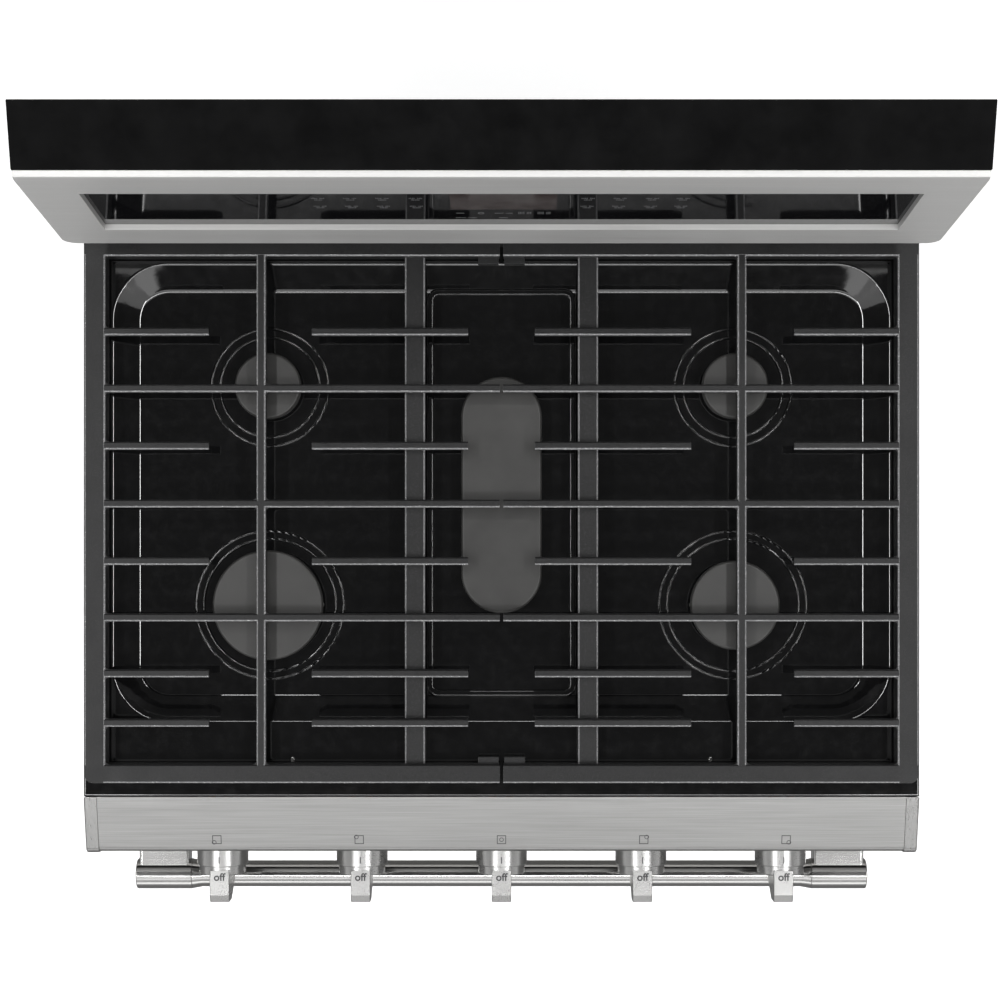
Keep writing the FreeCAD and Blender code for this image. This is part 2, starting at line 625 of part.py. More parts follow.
def right_grate():
    """Cast grate over the two right-hand burners and half of the centre burner."""
    g, x1 = GRATE_INNER_X, GRATE_HALF_X
    inner_x = x1 - SIDE_RAIL
    front = GRATE_FRONT + FRONT_RAIL / 2
    rear = GRATE_REAR - REAR_RAIL / 2
    side = bar_y(GRATE_FRONT, GRATE_REAR, x1 - SIDE_RAIL / 2, SIDE_RAIL, RAIL_UNDER)
    rails = fuse([side, bar_x(g, x1, front, FRONT_RAIL, RAIL_UNDER),
                  bar_x(g, x1, rear, REAR_RAIL, RAIL_UNDER)])
    corners = [e for e in rails.Edges if e.BoundBox.ZLength > 5 and e.BoundBox.XLength < 0.1
               and e.BoundBox.YLength < 0.1 and e.BoundBox.XMin > x1 - 1]
    pieces = [rails.makeFillet(8.0, corners)]
    y0, y1 = GRATE_FRONT + FRONT_RAIL - 1, GRATE_REAR - REAR_RAIL + 1
    pieces.append(bar_y(y0, y1, LONG_BAR_X, LONG_BAR))
    pieces.append(bar_y(y0, y1, LOWER_RAIL_X, LOWER_RAIL, RAIL_UNDER, GRATE_UNDER + 1.5))
    for y in CROSS_BAR_Y:
        pieces.append(bar_x(g, inner_x + 1, y, CROSS_BAR))
    for y in FINGER_Y:
        pieces.append(finger(OUTER_FINGER_TIP, inner_x + 1, y, True))
        pieces.append(finger(MIDDLE_FINGER_ROOT, MIDDLE_FINGER_TIP, y, False))
    for y in (GRATE_FRONT + FRONT_RAIL + TAB_REACH / 2, GRATE_REAR - REAR_RAIL - TAB_REACH / 2):
        pieces.append(block(g + 1.0, 21.0, y - TAB_REACH / 2 - 1, y + TAB_REACH / 2 + 1, RAIL_UNDER,
                            GRATE_UNDER + 4))
    for x in (14.0, x1 - 10.0):
        for y in (GRATE_FRONT + 9.0, GRATE_REAR - 9.0):
            pieces.append(Part.makeCylinder(6.0, 8.0, V(x, y, COOKTOP_Z + 0.1)))
    return fuse(pieces)


# ---------------------------------------------------------------- control panel and knobs
def panel_profile(inset):
    """Outline of the control panel in Y and Z; inset makes the inner skin."""
    i = inset
    return [(PAN_FRONT - 0.4, COOKTOP_Z - i), (PANEL_FRONT + 5, PANEL_EDGE_Z + 1.4 - i),
            (PANEL_FRONT + 2.2 + i, PANEL_EDGE_Z - i), (PANEL_FRONT + 0.6 + i, PANEL_EDGE_Z - 2.2 - i / 2),
            (PANEL_FRONT + i, PANEL_EDGE_Z - 5.0), (PANEL_FRONT + i, PANEL_BOTTOM + i),
            (PAN_FRONT - 0.4, PANEL_BOTTOM + i)]


def control_panel():
    """Folded steel panel: sloping top, rolled edge and upright face with stem holes."""
    skin = prism_x(panel_profile(0.0), -PANEL_HALF_X, PANEL_HALF_X)
    hollow = prism_x([(y + (2.0 if y > PAN_FRONT - 1 else 0.0), z) for y, z in panel_profile(SHEET)],
                     -PANEL_HALF_X + SHEET, PANEL_HALF_X - SHEET)
    skin = skin.cut(hollow)
    for x in KNOB_X:
        skin = skin.cut(rod((x, PANEL_FRONT - 5, KNOB_Z), (x, PANEL_FRONT + 5, KNOB_Z), COLLAR_RADIUS + 1.0))
    return skin


def panel_end_caps():
    """Solid caps that close the panel's two ends, standing slightly proud of it."""
    grown = [(y - (1.0 if y < PAN_FRONT - 1 else 0.0), z + (0.6 if z > PANEL_BOTTOM + 1 else 0.0))
             for y, z in panel_profile(0.0)]
    cap = prism_x(grown, PANEL_HALF_X, PANEL_HALF_X + END_CAP_WIDTH)
    outer = [e for e in cap.Edges if e.BoundBox.XMin > PANEL_HALF_X + END_CAP_WIDTH - 0.1]
    cap = cap.makeFillet(1.5, outer)
    return [cap, mirrored(cap)]


def knob_bezel(x):
    """Fixed cup round a knob, screwed to the panel's face."""
    y0, y1 = PANEL_FRONT - BEZEL_DEPTH, PANEL_FRONT
    cup = rod((x, y0, KNOB_Z), (x, y1, KNOB_Z), BEZEL_RADIUS)
    cup = cup.makeFillet(0.8, [e for e in cup.Edges if e.BoundBox.YMax < y0 + 0.1])
    cup = cup.cut(rod((x, y0 - 1, KNOB_Z), (x, y1 - 2.0, KNOB_Z), KNOB_RADIUS + 0.7))
    return cup.cut(rod((x, y0, KNOB_Z), (x, y1 + 1, KNOB_Z), COLLAR_RADIUS + 1.0))


def push_collar(x):
    """Sleeve on the valve stem that slides in as its knob is pushed."""
    sleeve = rod((x, KNOB_BACK + SLIDING_GAP, KNOB_Z), (x, VALVE_FRONT - 5.0, KNOB_Z), COLLAR_RADIUS)
    return sleeve.cut(rod((x, KNOB_BACK - 1, KNOB_Z), (x, VALVE_FRONT, KNOB_Z), STEM_RADIUS + 0.06))


def knob(x):
    """Knob and stem: a round body and a straight grip, its lower end sloping back."""
    body = rod((x, KNOB_FACE, KNOB_Z), (x, KNOB_BACK, KNOB_Z), KNOB_RADIUS)
    body = body.makeFillet(0.8, [e for e in body.Edges if e.BoundBox.YMax < KNOB_FACE + 0.1])
    high, low = KNOB_Z + KNOB_RADIUS + GRIP_RISE, KNOB_Z - KNOB_RADIUS + 1.0
    outline = [(GRIP_BACK, high), (KNOB_TIP + 7, high), (KNOB_TIP, high - 3), (KNOB_TIP, KNOB_Z + 4),
               (KNOB_FACE - 8, low), (KNOB_FACE + 1, low), (KNOB_FACE + 1, KNOB_Z), (GRIP_BACK, KNOB_Z)]
    grip = prism_x(outline, x - GRIP_WIDTH / 2, x + GRIP_WIDTH / 2)
    grip = grip.makeFillet(1.2, [e for e in grip.Edges if e.BoundBox.YMin < KNOB_FACE - 1])
    stem = rod((x, KNOB_BACK - 2, KNOB_Z), (x, VALVE_FRONT + 22.0, KNOB_Z), STEM_RADIUS)
    return fuse([body, grip, stem])


def gas_valves():
    """Five valve bodies on the manifold, bored for the knob stems."""
    valves = []
    for x in KNOB_X:
        body = block(x - 12, x + 12, VALVE_FRONT, MANIFOLD_Y - 8.2, KNOB_Z - 12, KNOB_Z + 12)
        outlet = Part.makeCylinder(5.0, OUTLET_HEIGHT, V(x, MANIFOLD_Y - 16, KNOB_Z + 12))
        bore = rod((x, VALVE_FRONT - 1, KNOB_Z), (x, VALVE_FRONT + 30.0, KNOB_Z), STEM_RADIUS + 0.06)
        valves.append(fuse([body, outlet]).cut(bore))
    return valves


def gas_manifold():
    """Front manifold pipe and its supply run from the regulator at the rear."""
    y, z = MANIFOLD_Y, KNOB_Z
    return pipe_run([(GAS_X, GAS_PIPE_Y, GAS_Z + 22), (GAS_X, GAS_PIPE_Y, z - 18), (GAS_X, y + 40, z - 18),
                     (GAS_X, y, z), (300.0, y, z)], 8.0)


def pressure_regulator():
    """Regulator at the lower rear, with the threaded supply inlet facing backwards."""
    body = Part.makeCylinder(26.0, 34.0, V(GAS_X, GAS_PIPE_Y, GAS_Z - 12))
    dome = Part.makeCone(26.0, 14.0, 10.0, V(GAS_X, GAS_PIPE_Y, GAS_Z - 22), V(0, 0, -1))
    dome.translate(V(0, 0, 10))
    boss = rod((GAS_X, GAS_PIPE_Y, GAS_Z), (GAS_X, BODY_REAR - 1, GAS_Z), GAS_BOSS_RADIUS)
    bore = rod((GAS_X, BODY_REAR - 1 - GAS_BORE_LENGTH, GAS_Z), (GAS_X, BODY_REAR, GAS_Z), GAS_BORE_RADIUS)
    return fuse([body, dome, boss]).cut(bore)


def burner_gas_tubes():
    """Bent tubes from each valve to its burner."""
    tubes = []
    y0, z = MANIFOLD_Y - 16, BURNER_FOOT_Z + 6.0
    for x, (bx, by) in zip(KNOB_X, BURNER_FEET):
        points = [(x, y0, KNOB_Z + 12.1 + OUTLET_HEIGHT), (x, y0, z), (x, by - 80.0, z)]
        if abs(bx - x) > 1:
            points.append((bx, by - 24.0, z))
        points.append((bx, by - HEAD_TUBE_RADIUS - 0.1, z))
        tubes.append(pipe_run(points, 4.0))
    return tubes


def power_inlet():
    """Cord entry gland in the rear cover."""
    y = REAR_PANEL_Y
    flange = rod((CORD_X, y + SHEET, CORD_Z), (CORD_X, y + SHEET + 4, CORD_Z), 17.0)
    body = rod((CORD_X, y - 18, CORD_Z), (CORD_X, y + SHEET + 1, CORD_Z), 11.8)
    return fuse([flange, body]).cut(rod((CORD_X, y - 30, CORD_Z), (CORD_X, y + 20, CORD_Z), CORD_BORE_RADIUS))


# ---------------------------------------------------------------- oven door
def door_outer_panel():
    """Door shell: front sheet with a window, rounded edges, folded sides and rear rim."""
    t = SHEET
    x = DOOR_HALF_X
    outer = block(-x, x, DOOR_FRONT, DOOR_SHELL_REAR, DOOR_BOTTOM, DOOR_TOP)
    outer = outer.makeFillet(7.0, [e for e in outer.Edges if e.BoundBox.YMax < DOOR_FRONT + 0.1])
    inner = block(-x + t, x - t, DOOR_FRONT + t, DOOR_SHELL_REAR + 1, DOOR_BOTTOM + t, DOOR_TOP - t)
    inner = inner.makeFillet(5.5, [e for e in inner.Edges if e.BoundBox.YMax < DOOR_FRONT + t + 0.1])
    rim = block(-x + t, x - t, DOOR_SHELL_REAR - t, DOOR_SHELL_REAR, 258.0, DOOR_TOP - t)
    rim = rim.cut(block(-HINGE_X + 12, HINGE_X - 12, DOOR_SHELL_REAR - 5, DOOR_SHELL_REAR + 5, 270.0, 808.0))
    shell = outer.cut(inner).fuse(rim)
    window = block(-WINDOW_HALF_X, WINDOW_HALF_X, DOOR_FRONT - 5, DOOR_FRONT + 5, WINDOW_BOTTOM, WINDOW_TOP)
    shell = shell.cut(window.makeFillet(14.0, [e for e in window.Edges if e.BoundBox.YLength > 9]))
    for side in (-1, 1):
        cx = side * HINGE_X
        shell = shell.cut(block(cx - 5.5, cx + 5.5, DOOR_PIVOT.y - 9, DOOR_SHELL_REAR + 2,
                                DOOR_BOTTOM - 2, DOOR_BOTTOM + 5))
    return shell


def glass_plate(half, z0, z1, y0, thick, radius):
    """An upright glass pane with round corners."""
    pane = block(-half, half, y0, y0 + thick, z0, z1)
    return pane.makeFillet(radius, [e for e in pane.Edges if abs(e.tangentAt(e.FirstParameter).y) > 0.9])


def door_inner_panel():
    """Enamelled inner pan of the door, with its own window opening."""
    y0, y1, t = DOOR_SHELL_REAR, DOOR_REAR, SHEET
    half, z0, z1 = 350.0, 262.0, 815.0
    outer = block(-half, half, y0, y1, z0, z1)
    outer = outer.makeFillet(6.0, [e for e in outer.Edges if e.BoundBox.YMin > y1 - 0.1])
    inner = block(-half + t, half - t, y0 - 1, y1 - t, z0 + t, z1 - t)
    inner = inner.makeFillet(4.5, [e for e in inner.Edges if e.BoundBox.YMin > y1 - t - 0.1])
    lap = 14.0
    hole = glass_plate(INNER_GLASS_HALF_X - lap, INNER_GLASS_BOTTOM + lap, INNER_GLASS_TOP - lap,
                       y0 - 5, 20.0, 16.0)
    return outer.cut(inner).cut(hole)


def door_handle_bar():
    """Middle of the handle: a round bar with a short cone at each end."""
    half = HANDLE_HALF_X - BARREL_LENGTH - CONE_LENGTH
    bar = rod((-half, HANDLE_Y, HANDLE_Z), (half, HANDLE_Y, HANDLE_Z), BAR_RADIUS)
    cones = [Part.makeCone(BAR_RADIUS, BARREL_RADIUS - 0.3, CONE_LENGTH,
                           V(s * half, HANDLE_Y, HANDLE_Z), V(s, 0, 0)) for s in (-1, 1)]
    return fuse([bar] + cones)


def door_handle_ends():
    """The two barrels of the handle with their brackets to the door."""
    h0, h1 = HANDLE_HALF_X - BARREL_LENGTH, HANDLE_HALF_X
    barrel = rod((h0, HANDLE_Y, HANDLE_Z), (h1, HANDLE_Y, HANDLE_Z), BARREL_RADIUS)
    barrel = barrel.makeFillet(1.2, [e for e in barrel.Edges if e.BoundBox.XLength < 0.1])
    bracket = block(h0 + 3, h1 - 3, HANDLE_Y + 2, DOOR_FRONT, HANDLE_Z - 11, HANDLE_Z + 11)
    along = [e for e in bracket.Edges if e.BoundBox.YLength > 9]
    end = fuse([barrel, bracket.makeFillet(3.0, along)])
    return [end, mirrored(end)]


def hinge_receivers():
    """Receivers behind the face frame, each with a claw and the hinge pin it carries."""
    parts = []
    y, z = DOOR_PIVOT.y, DOOR_PIVOT.z
    for side in (-1, 1):
        x = side * HINGE_X
        claw = block(x - 3, x + 3, y, LINER_FRONT, z - 7, z + 7)
        tip = rod((x - 3, y, z), (x + 3, y, z), 7.0)
        pin = rod((x - 9, y, z), (x + 9, y, z), HINGE_PIN_RADIUS)
        box = block(x - 11, x + 11, LINER_FRONT, LINER_FRONT + 80, z - 12, z + 60)
        parts.append(fuse([claw, tip, pin, box]))
    return parts


def door_hinge_arms():
    """Cheek plates inside the door that turn on the hinge pins."""
    parts = []
    y, z = DOOR_PIVOT.y, DOOR_PIVOT.z
    for side in (-1, 1):
        x = side * HINGE_X
        cheeks = []
        for low in (x - 8.0, x + 4.5):
            cheek = block(low, low + 3.5, DOOR_FRONT + SHEET, y + 9, z - 9, z + 90)
            cheeks.append(cheek)
        back = block(x - 8, x + 8, DOOR_FRONT + SHEET, DOOR_FRONT + 5, z + 12, z + 90)
        arm = fuse(cheeks + [back])
        parts.append(arm.cut(rod((x - 12, y, z), (x + 12, y, z), HINGE_PIN_RADIUS + 0.06)))
    return parts


# ---------------------------------------------------------------- storage drawer
def drawer_front():
    """Drawer face: a folded sheet with softened edges and a finger slot along its top."""
    y1 = DOOR_FRONT + DRAWER_FRONT_THICK
    face = block(-DOOR_HALF_X, DOOR_HALF_X, DOOR_FRONT, y1, DRAWER_BOTTOM, DRAWER_TOP)
    face = face.makeFillet(5.0, [e for e in face.Edges if e.BoundBox.YMax < DOOR_FRONT + 0.1])
    t = SHEET
    inner = block(-DOOR_HALF_X + t, DOOR_HALF_X - t, DOOR_FRONT + t, y1 + 1,
                  DRAWER_BOTTOM + t, DRAWER_TOP - t)
    inner = inner.makeFillet(3.5, [e for e in inner.Edges if e.BoundBox.YMax < DOOR_FRONT + t + 0.1])
    back = block(-DOOR_HALF_X + t, DOOR_HALF_X - t, y1 - t, y1, DRAWER_BOTTOM + t, DRAWER_TOP - 30.0)
    grip = block(-DOOR_HALF_X + 40, DOOR_HALF_X - 40, y1 - 12, y1 + 1, DRAWER_TOP - 10, DRAWER_TOP + 1)
    return face.cut(inner).fuse(back).cut(grip)


def drawer_box():
    """Open-topped drawer tray with running flanges along its sides."""
    t = SHEET
    x, y0, y1 = DRAWER_HALF_X, DOOR_FRONT + DRAWER_FRONT_THICK, DRAWER_REAR
    z0, z1 = 52.0, 172.0
    tray = block(-x, x, y0, y1, z0, z1).cut(block(-x + t, x - t, y0 + t, y1 - t, z0 + t, z1 + 1))
    flange_z = RAIL_Z + 0.4
    for side in (-1, 1):
        low, high = sorted((side * (x - 0.5), side * (WIDTH / 2 - 9.0)))
        tray = tray.fuse(block(low, high, BODY_FRONT + 4, y1 - 4, flange_z, flange_z + 2.0))
    return tray


# ---------------------------------------------------------------- backguard
def face_y(z):
    """Y of the backguard's leaning face at a height."""
    (y0, z0), (y1, z1) = FACE_FOOT, FACE_HEAD
    return y0 + (y1 - y0) * (z - z0) / (z1 - z0)


def foot_corners(inset):
    """Cutters that round the two lower corners of the overhanging face."""
    r = FACE_CORNER
    x, z = GUARD_HALF_X - r, FACE_FOOT[1] + r
    y0, y1 = FACE_FOOT[0] - 5, GUARD_RISER_Y
    square = block(x, x + r + 1, y0, y1, z - r - 12, z)
    tool = square.cut(rod((x, y0 - 1, z), (x, y1 + 1, z), r - inset))
    tool = tool.cut(block(x - 1, x, y0, y1, z - r - 12, z))
    return tool.fuse(mirrored(tool))


def backguard_frame():
    """Steel backguard: leaning face with a glazed opening, rolled lip and riser."""
    t = SHEET
    top = GUARD_TOP - COVER_THICK
    lip_y, lip_z = LIP_POINT
    outline = [(GUARD_RISER_Y, COOKTOP_Z + 0.1), (GUARD_RISER_Y, 984.0), (FACE_FOOT[0] + 1.5, 988.0),
               FACE_FOOT, FACE_HEAD, (FACE_HEAD[0] + 1.6, 1169.0), (lip_y, lip_z - COVER_THICK - 0.6),
               (GUARD_REAR, top - 0.6), (GUARD_REAR, COOKTOP_Z + 0.1)]
    shell = prism_x(outline, -GUARD_HALF_X, GUARD_HALF_X).cut(foot_corners(0.0))
    inner = [(GUARD_RISER_Y + t, COOKTOP_Z - 5), (GUARD_RISER_Y + t, 986.0), (FACE_FOOT[0] + t + 1, 990.0),
             (FACE_HEAD[0] + t, 1164.0), (lip_y + 1, lip_z - COVER_THICK - 3.0),
             (GUARD_REAR - t, top - t - 1), (GUARD_REAR - t, COOKTOP_Z - 5)]
    shell = shell.cut(prism_x(inner, -GUARD_HALF_X + t, GUARD_HALF_X - t).cut(foot_corners(t)))

    def leaning(half, z0, z1, near, far):
        return prism_x([(face_y(z0) + near, z0), (face_y(z0) + far, z0), (face_y(z1) + far, z1),
                        (face_y(z1) + near, z1)], -half, half)
    sleeve = leaning(GLASS_HALF_X + t, GLASS_BOTTOM - t, GLASS_TOP + t, 0.5, GLASS_RECESS + 1.0)
    shell = shell.fuse(sleeve)
    return shell.cut(leaning(GLASS_HALF_X, GLASS_BOTTOM, GLASS_TOP, -5.0, 12.0))


def backguard_glass():
    """Glass control fascia, set back in the opening."""
    z0, z1 = GLASS_BOTTOM + 0.3, GLASS_TOP - 0.3
    near, far = GLASS_RECESS, GLASS_RECESS + 4.0
    return prism_x([(face_y(z0) + near, z0), (face_y(z0) + far, z0), (face_y(z1) + far, z1),
                    (face_y(z1) + near, z1)], -GLASS_HALF_X + 0.3, GLASS_HALF_X - 0.3)


def backguard_cover():
    """Sloping top cover with a turned-down rear edge."""
    lip_y, lip_z = LIP_POINT
    y1, top, t = GUARD_REAR, GUARD_TOP, COVER_THICK
    outline = [(lip_y, lip_z - t), (lip_y, lip_z), (y1 + 2, top), (y1 + 2, top - 22), (y1 + 0.2, top - 22),
               (y1 + 0.2, top - t)]
    return prism_x(outline, -GUARD_HALF_X, GUARD_HALF_X)


def control_board():
    """Circuit board and display module behind the glass."""
    y = face_y(1080) + GLASS_RECESS + 6.0
    board = block(-140, 140, y + 14, y + 16, 1046, 1118)
    display = block(-55, 55, y + 4, y + 14, 1066, 1108)
    posts = [rod((x, y + 16, z), (x, GUARD_REAR - SHEET, z), 3.0) for x in (-130, 130) for z in (1054, 1110)]
    return fuse([board, display] + posts)


# ---------------------------------------------------------------- the nodes
export("right_side_panel", side_panel())
export("left_side_panel", mirrored(side_panel()))
export("rear_panel", rear_panel())
export("base_frame", base_frame())
export("levelling_legs", levelling_legs())
export("oven_front_frame", front_frame())
export("door_gasket", door_gasket())
export("oven_liner", oven_liner())
export("oven_floor_plate", oven_floor_plate())
export("oven_tube_burners", [tube_burner(BAKE_HALF_X, BAKE_Z, -150.0),
                             tube_burner(BROIL_HALF_X, BROIL_Z, -120.0)])
export("rack_guides", rack_guides())
export("oven_rack", oven_rack())
export("fan_shroud", fan_shroud())
export("convection_fan", convection_fan())
export("fan_motor", fan_motor())
export("oven_lamp", oven_lamp())

export("cooktop_pan", cooktop_pan())
heads = [round_burner_head(x, y, cap) for x, y, cap, rings in ROUND_BURNERS]
export("rear_burner_heads", heads[:2])
export("front_burner_heads", heads[2:])
export("centre_burner_head", centre_burner_head())
for label, (x, y, cap, rings) in zip(("rear_left", "rear_right", "front_left", "front_right"), ROUND_BURNERS):
    export("%s_burner_cap" % label, round_cap(x, y, cap))
export("centre_burner_cap", centre_cap())
export("burner_electrodes", electrodes())
export("right_grate", right_grate())
export("left_grate", mirrored(right_grate()))

export("control_panel", control_panel())
export("panel_end_caps", panel_end_caps())
export("knob_bezels", [knob_bezel(x) for x in KNOB_X])
for label, x in zip(KNOB_NAMES, KNOB_X):
    export("%s_knob" % label, knob(x))
    export("%s_push_collar" % label, push_collar(x))
export("gas_valves", gas_valves())
export("gas_manifold", gas_manifold())
export("pressure_regulator", pressure_regulator())
export("burner_gas_tubes", burner_gas_tubes())
export("power_inlet", power_inlet())

export("door_outer_panel", door_outer_panel())
export("door_inner_panel", door_inner_panel())
export("door_window", glass_plate(WINDOW_HALF_X + WINDOW_LAP, WINDOW_BOTTOM - WINDOW_LAP,
                                  WINDOW_TOP + WINDOW_LAP, DOOR_FRONT + SHEET, 4.0, 18.0))
export("door_inner_glass", glass_plate(INNER_GLASS_HALF_X, INNER_GLASS_BOTTOM, INNER_GLASS_TOP,
                                       DOOR_REAR - 6.0, 4.0, 20.0))
export("door_handle_bar", door_handle_bar())
export("door_handle_ends", door_handle_ends())
export("hinge_receivers", hinge_receivers())
export("door_hinge_arms", door_hinge_arms())
export("drawer_front", drawer_front())
export("drawer_box", drawer_box())

export("backguard_frame", backguard_frame())
export("backguard_glass", backguard_glass())
export("backguard_cover", backguard_cover())
export("control_board", control_board())
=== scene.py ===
"""Looks of the freestanding gas range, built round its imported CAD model. Metres, in the CAD row's frame."""
import json
import math

import bmesh
import bpy
from mathutils import Matrix, Vector

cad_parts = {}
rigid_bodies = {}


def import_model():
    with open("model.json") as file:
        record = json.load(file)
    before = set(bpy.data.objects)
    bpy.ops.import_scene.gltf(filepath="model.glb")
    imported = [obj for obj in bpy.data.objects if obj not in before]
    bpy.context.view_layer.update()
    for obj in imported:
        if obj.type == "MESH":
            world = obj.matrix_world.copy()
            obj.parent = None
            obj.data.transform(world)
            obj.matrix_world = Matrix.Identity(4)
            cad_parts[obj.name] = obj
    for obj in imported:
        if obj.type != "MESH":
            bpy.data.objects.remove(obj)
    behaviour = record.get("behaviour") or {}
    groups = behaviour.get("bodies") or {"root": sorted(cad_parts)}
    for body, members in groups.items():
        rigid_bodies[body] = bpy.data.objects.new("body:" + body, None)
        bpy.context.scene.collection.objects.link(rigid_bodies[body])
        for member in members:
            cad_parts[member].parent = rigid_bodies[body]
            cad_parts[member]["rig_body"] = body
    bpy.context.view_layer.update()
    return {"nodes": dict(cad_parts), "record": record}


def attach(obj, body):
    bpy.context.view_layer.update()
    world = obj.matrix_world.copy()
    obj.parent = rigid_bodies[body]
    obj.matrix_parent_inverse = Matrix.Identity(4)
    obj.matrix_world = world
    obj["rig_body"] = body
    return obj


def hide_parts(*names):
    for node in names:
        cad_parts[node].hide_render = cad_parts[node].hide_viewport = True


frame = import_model()
SCENE = bpy.context.scene
MM = 0.001

# ------------------------------------------------------------------ camera, straight above the cooktop
CAMERA_PLACE = (0.0, -0.028, 2.639)
SENSOR = 36.0
FOCAL = 68.33
SHIFT_X = -0.0015
SHIFT_Y = 0.060


def make_camera():
    """A long lens looking straight down, its picture shifted so that the cooktop sits low in the frame."""
    data = bpy.data.cameras.new("camera")
    data.sensor_width = SENSOR
    data.lens = FOCAL
    data.shift_x = SHIFT_X
    data.shift_y = SHIFT_Y
    data.clip_start = 0.05
    data.clip_end = 60.0
    camera = bpy.data.objects.new("camera", data)
    camera.location = CAMERA_PLACE
    camera.rotation_euler = (0.0, 0.0, 0.0)
    SCENE.collection.objects.link(camera)
    SCENE.camera = camera


# ------------------------------------------------------------------ material helpers
class Shader:
    """A new material with short ways to add the nodes used here."""

    def __init__(self, name, color, metallic=0.0, roughness=0.5, **sockets):
        self.material = bpy.data.materials.new(name)
        self.material.use_nodes = True
        self.tree = self.material.node_tree
        self.bsdf = self.tree.nodes["Principled BSDF"]
        self.set("Base Color", tuple(color) + (1.0,))
        self.set("Metallic", metallic)
        self.set("Roughness", roughness)
        for socket, value in sockets.items():
            self.set(socket.replace("_", " "), value)
        self.coords = self.tree.nodes.new("ShaderNodeTexCoord")
        self.height = None

    def set(self, socket, value):
        """One uniform value on the surface shader."""
        self.bsdf.inputs[socket].default_value = value

    def noise(self, scale, stretch=(1.0, 1.0, 1.0), detail=3.0, rough=0.5):
        """Soft noise in the object's own metres, stretched along an axis for brushing."""
        mapping = self.tree.nodes.new("ShaderNodeMapping")
        mapping.inputs["Scale"].default_value = stretch
        self.tree.links.new(self.coords.outputs["Object"], mapping.inputs["Vector"])
        node = self.tree.nodes.new("ShaderNodeTexNoise")
        node.inputs["Scale"].default_value = scale
        node.inputs["Detail"].default_value = detail
        node.inputs["Roughness"].default_value = rough
        self.tree.links.new(mapping.outputs["Vector"], node.inputs["Vector"])
        return node.outputs["Fac"]

    def cells(self, scale, output="Distance"):
        """Cells of random shape: the distance to each centre, or one colour a cell."""
        node = self.tree.nodes.new("ShaderNodeTexVoronoi")
        node.inputs["Scale"].default_value = scale
        self.tree.links.new(self.coords.outputs["Object"], node.inputs["Vector"])
        return node.outputs[output]

    def spread(self, source, low, high, out_low=0.0, out_high=1.0):
        """Maps low..high of the source onto out_low..out_high."""
        node = self.tree.nodes.new("ShaderNodeMapRange")
        node.inputs["From Min"].default_value = low
        node.inputs["From Max"].default_value = high
        node.inputs["To Min"].default_value = out_low
        node.inputs["To Max"].default_value = out_high
        self.tree.links.new(source, node.inputs["Value"])
        return node.outputs["Result"]

    def math(self, operation, first, second):
        """Either operand may be a number or a link."""
        node = self.tree.nodes.new("ShaderNodeMath")
        node.operation = operation
        for socket, value in zip(node.inputs, (first, second)):
            if isinstance(value, float):
                socket.default_value = value
            else:
                self.tree.links.new(value, socket)
        return node.outputs["Value"]

    def mix(self, factor, first, second):
        """Colour from first to second as factor goes from 0 to 1; either may be a colour or a link."""
        node = self.tree.nodes.new("ShaderNodeMix")
        node.data_type = "RGBA"
        self.tree.links.new(factor, node.inputs["Factor"])
        for socket, value in zip((node.inputs[6], node.inputs[7]), (first, second)):
            if isinstance(value, tuple):
                socket.default_value = value + (1.0,)
            else:
                self.tree.links.new(value, socket)
        return node.outputs[2]

    def color(self, source):
        self.tree.links.new(source, self.bsdf.inputs["Base Color"])

    def roughness(self, source):
        self.tree.links.new(source, self.bsdf.inputs["Roughness"])

    def bump(self, source, distance, strength=1.0):
        """Relief of the given height in metres, laid over any relief already there."""
        node = self.tree.nodes.new("ShaderNodeBump")
        node.inputs["Distance"].default_value = distance
        node.inputs["Strength"].default_value = strength
        self.tree.links.new(source, node.inputs["Height"])
        if self.height is not None:
            self.tree.links.new(self.height, node.inputs["Normal"])
        self.tree.links.new(node.outputs["Normal"], self.bsdf.inputs["Normal"])
        self.height = node.outputs["Normal"]


def brushed_steel(name, color=(0.62, 0.615, 0.60), rough=0.30, along="X", streak=0.10, metallic=1.0):
    """Fine straight brushing along one axis, with broader faint bands and small smudges."""
    s = Shader(name, color, metallic, rough)
    thin = {"X": (14.0, 1100.0, 1100.0), "Y": (1100.0, 14.0, 1100.0), "Z": (1100.0, 1100.0, 14.0)}[along]
    wide = tuple(v / 3.5 for v in thin)
    fine = s.noise(1.0, thin, 2.0)
    band = s.noise(1.0, wide, 2.0)
    cloud = s.noise(6.0, detail=2.0)
    both = s.math("ADD", s.math("MULTIPLY", fine, 0.65), s.math("MULTIPLY", band, 0.35))
    dark = tuple(c * (1.0 - streak) for c in color)
    light = tuple(min(1.0, c * (1.0 + streak)) for c in color)
    s.color(s.mix(s.spread(both, 0.30, 0.70), dark, light))
    s.roughness(s.math("ADD", s.spread(both, 0.3, 0.7, rough - 0.05, rough + 0.06),
                       s.spread(cloud, 0.35, 0.65, -0.015, 0.015)))
    s.bump(fine, 0.00003, 0.25)
    return s.material


def polished_steel(name, along="X", rough=0.16, color=(0.46, 0.457, 0.45)):
    """Satin polish on bar and knobs: faint fine lines and a soft uneven gloss."""
    s = Shader(name, color, 1.0, rough)
    thin = {"X": (6.0, 1400.0, 1400.0), "Y": (1400.0, 6.0, 1400.0), "Z": (1400.0, 1400.0, 6.0)}[along]
    fine = s.noise(1.0, thin, 2.0)
    cloud = s.noise(25.0, detail=3.0)
    s.color(s.mix(s.spread(fine, 0.3, 0.7), tuple(c * 0.94 for c in color), tuple(c * 1.06 for c in color)))
    s.roughness(s.math("ADD", s.spread(fine, 0.3, 0.7, rough - 0.04, rough + 0.04),
                       s.spread(cloud, 0.3, 0.7, -0.02, 0.03)))
    s.bump(fine, 0.00002, 0.2)
    return s.material


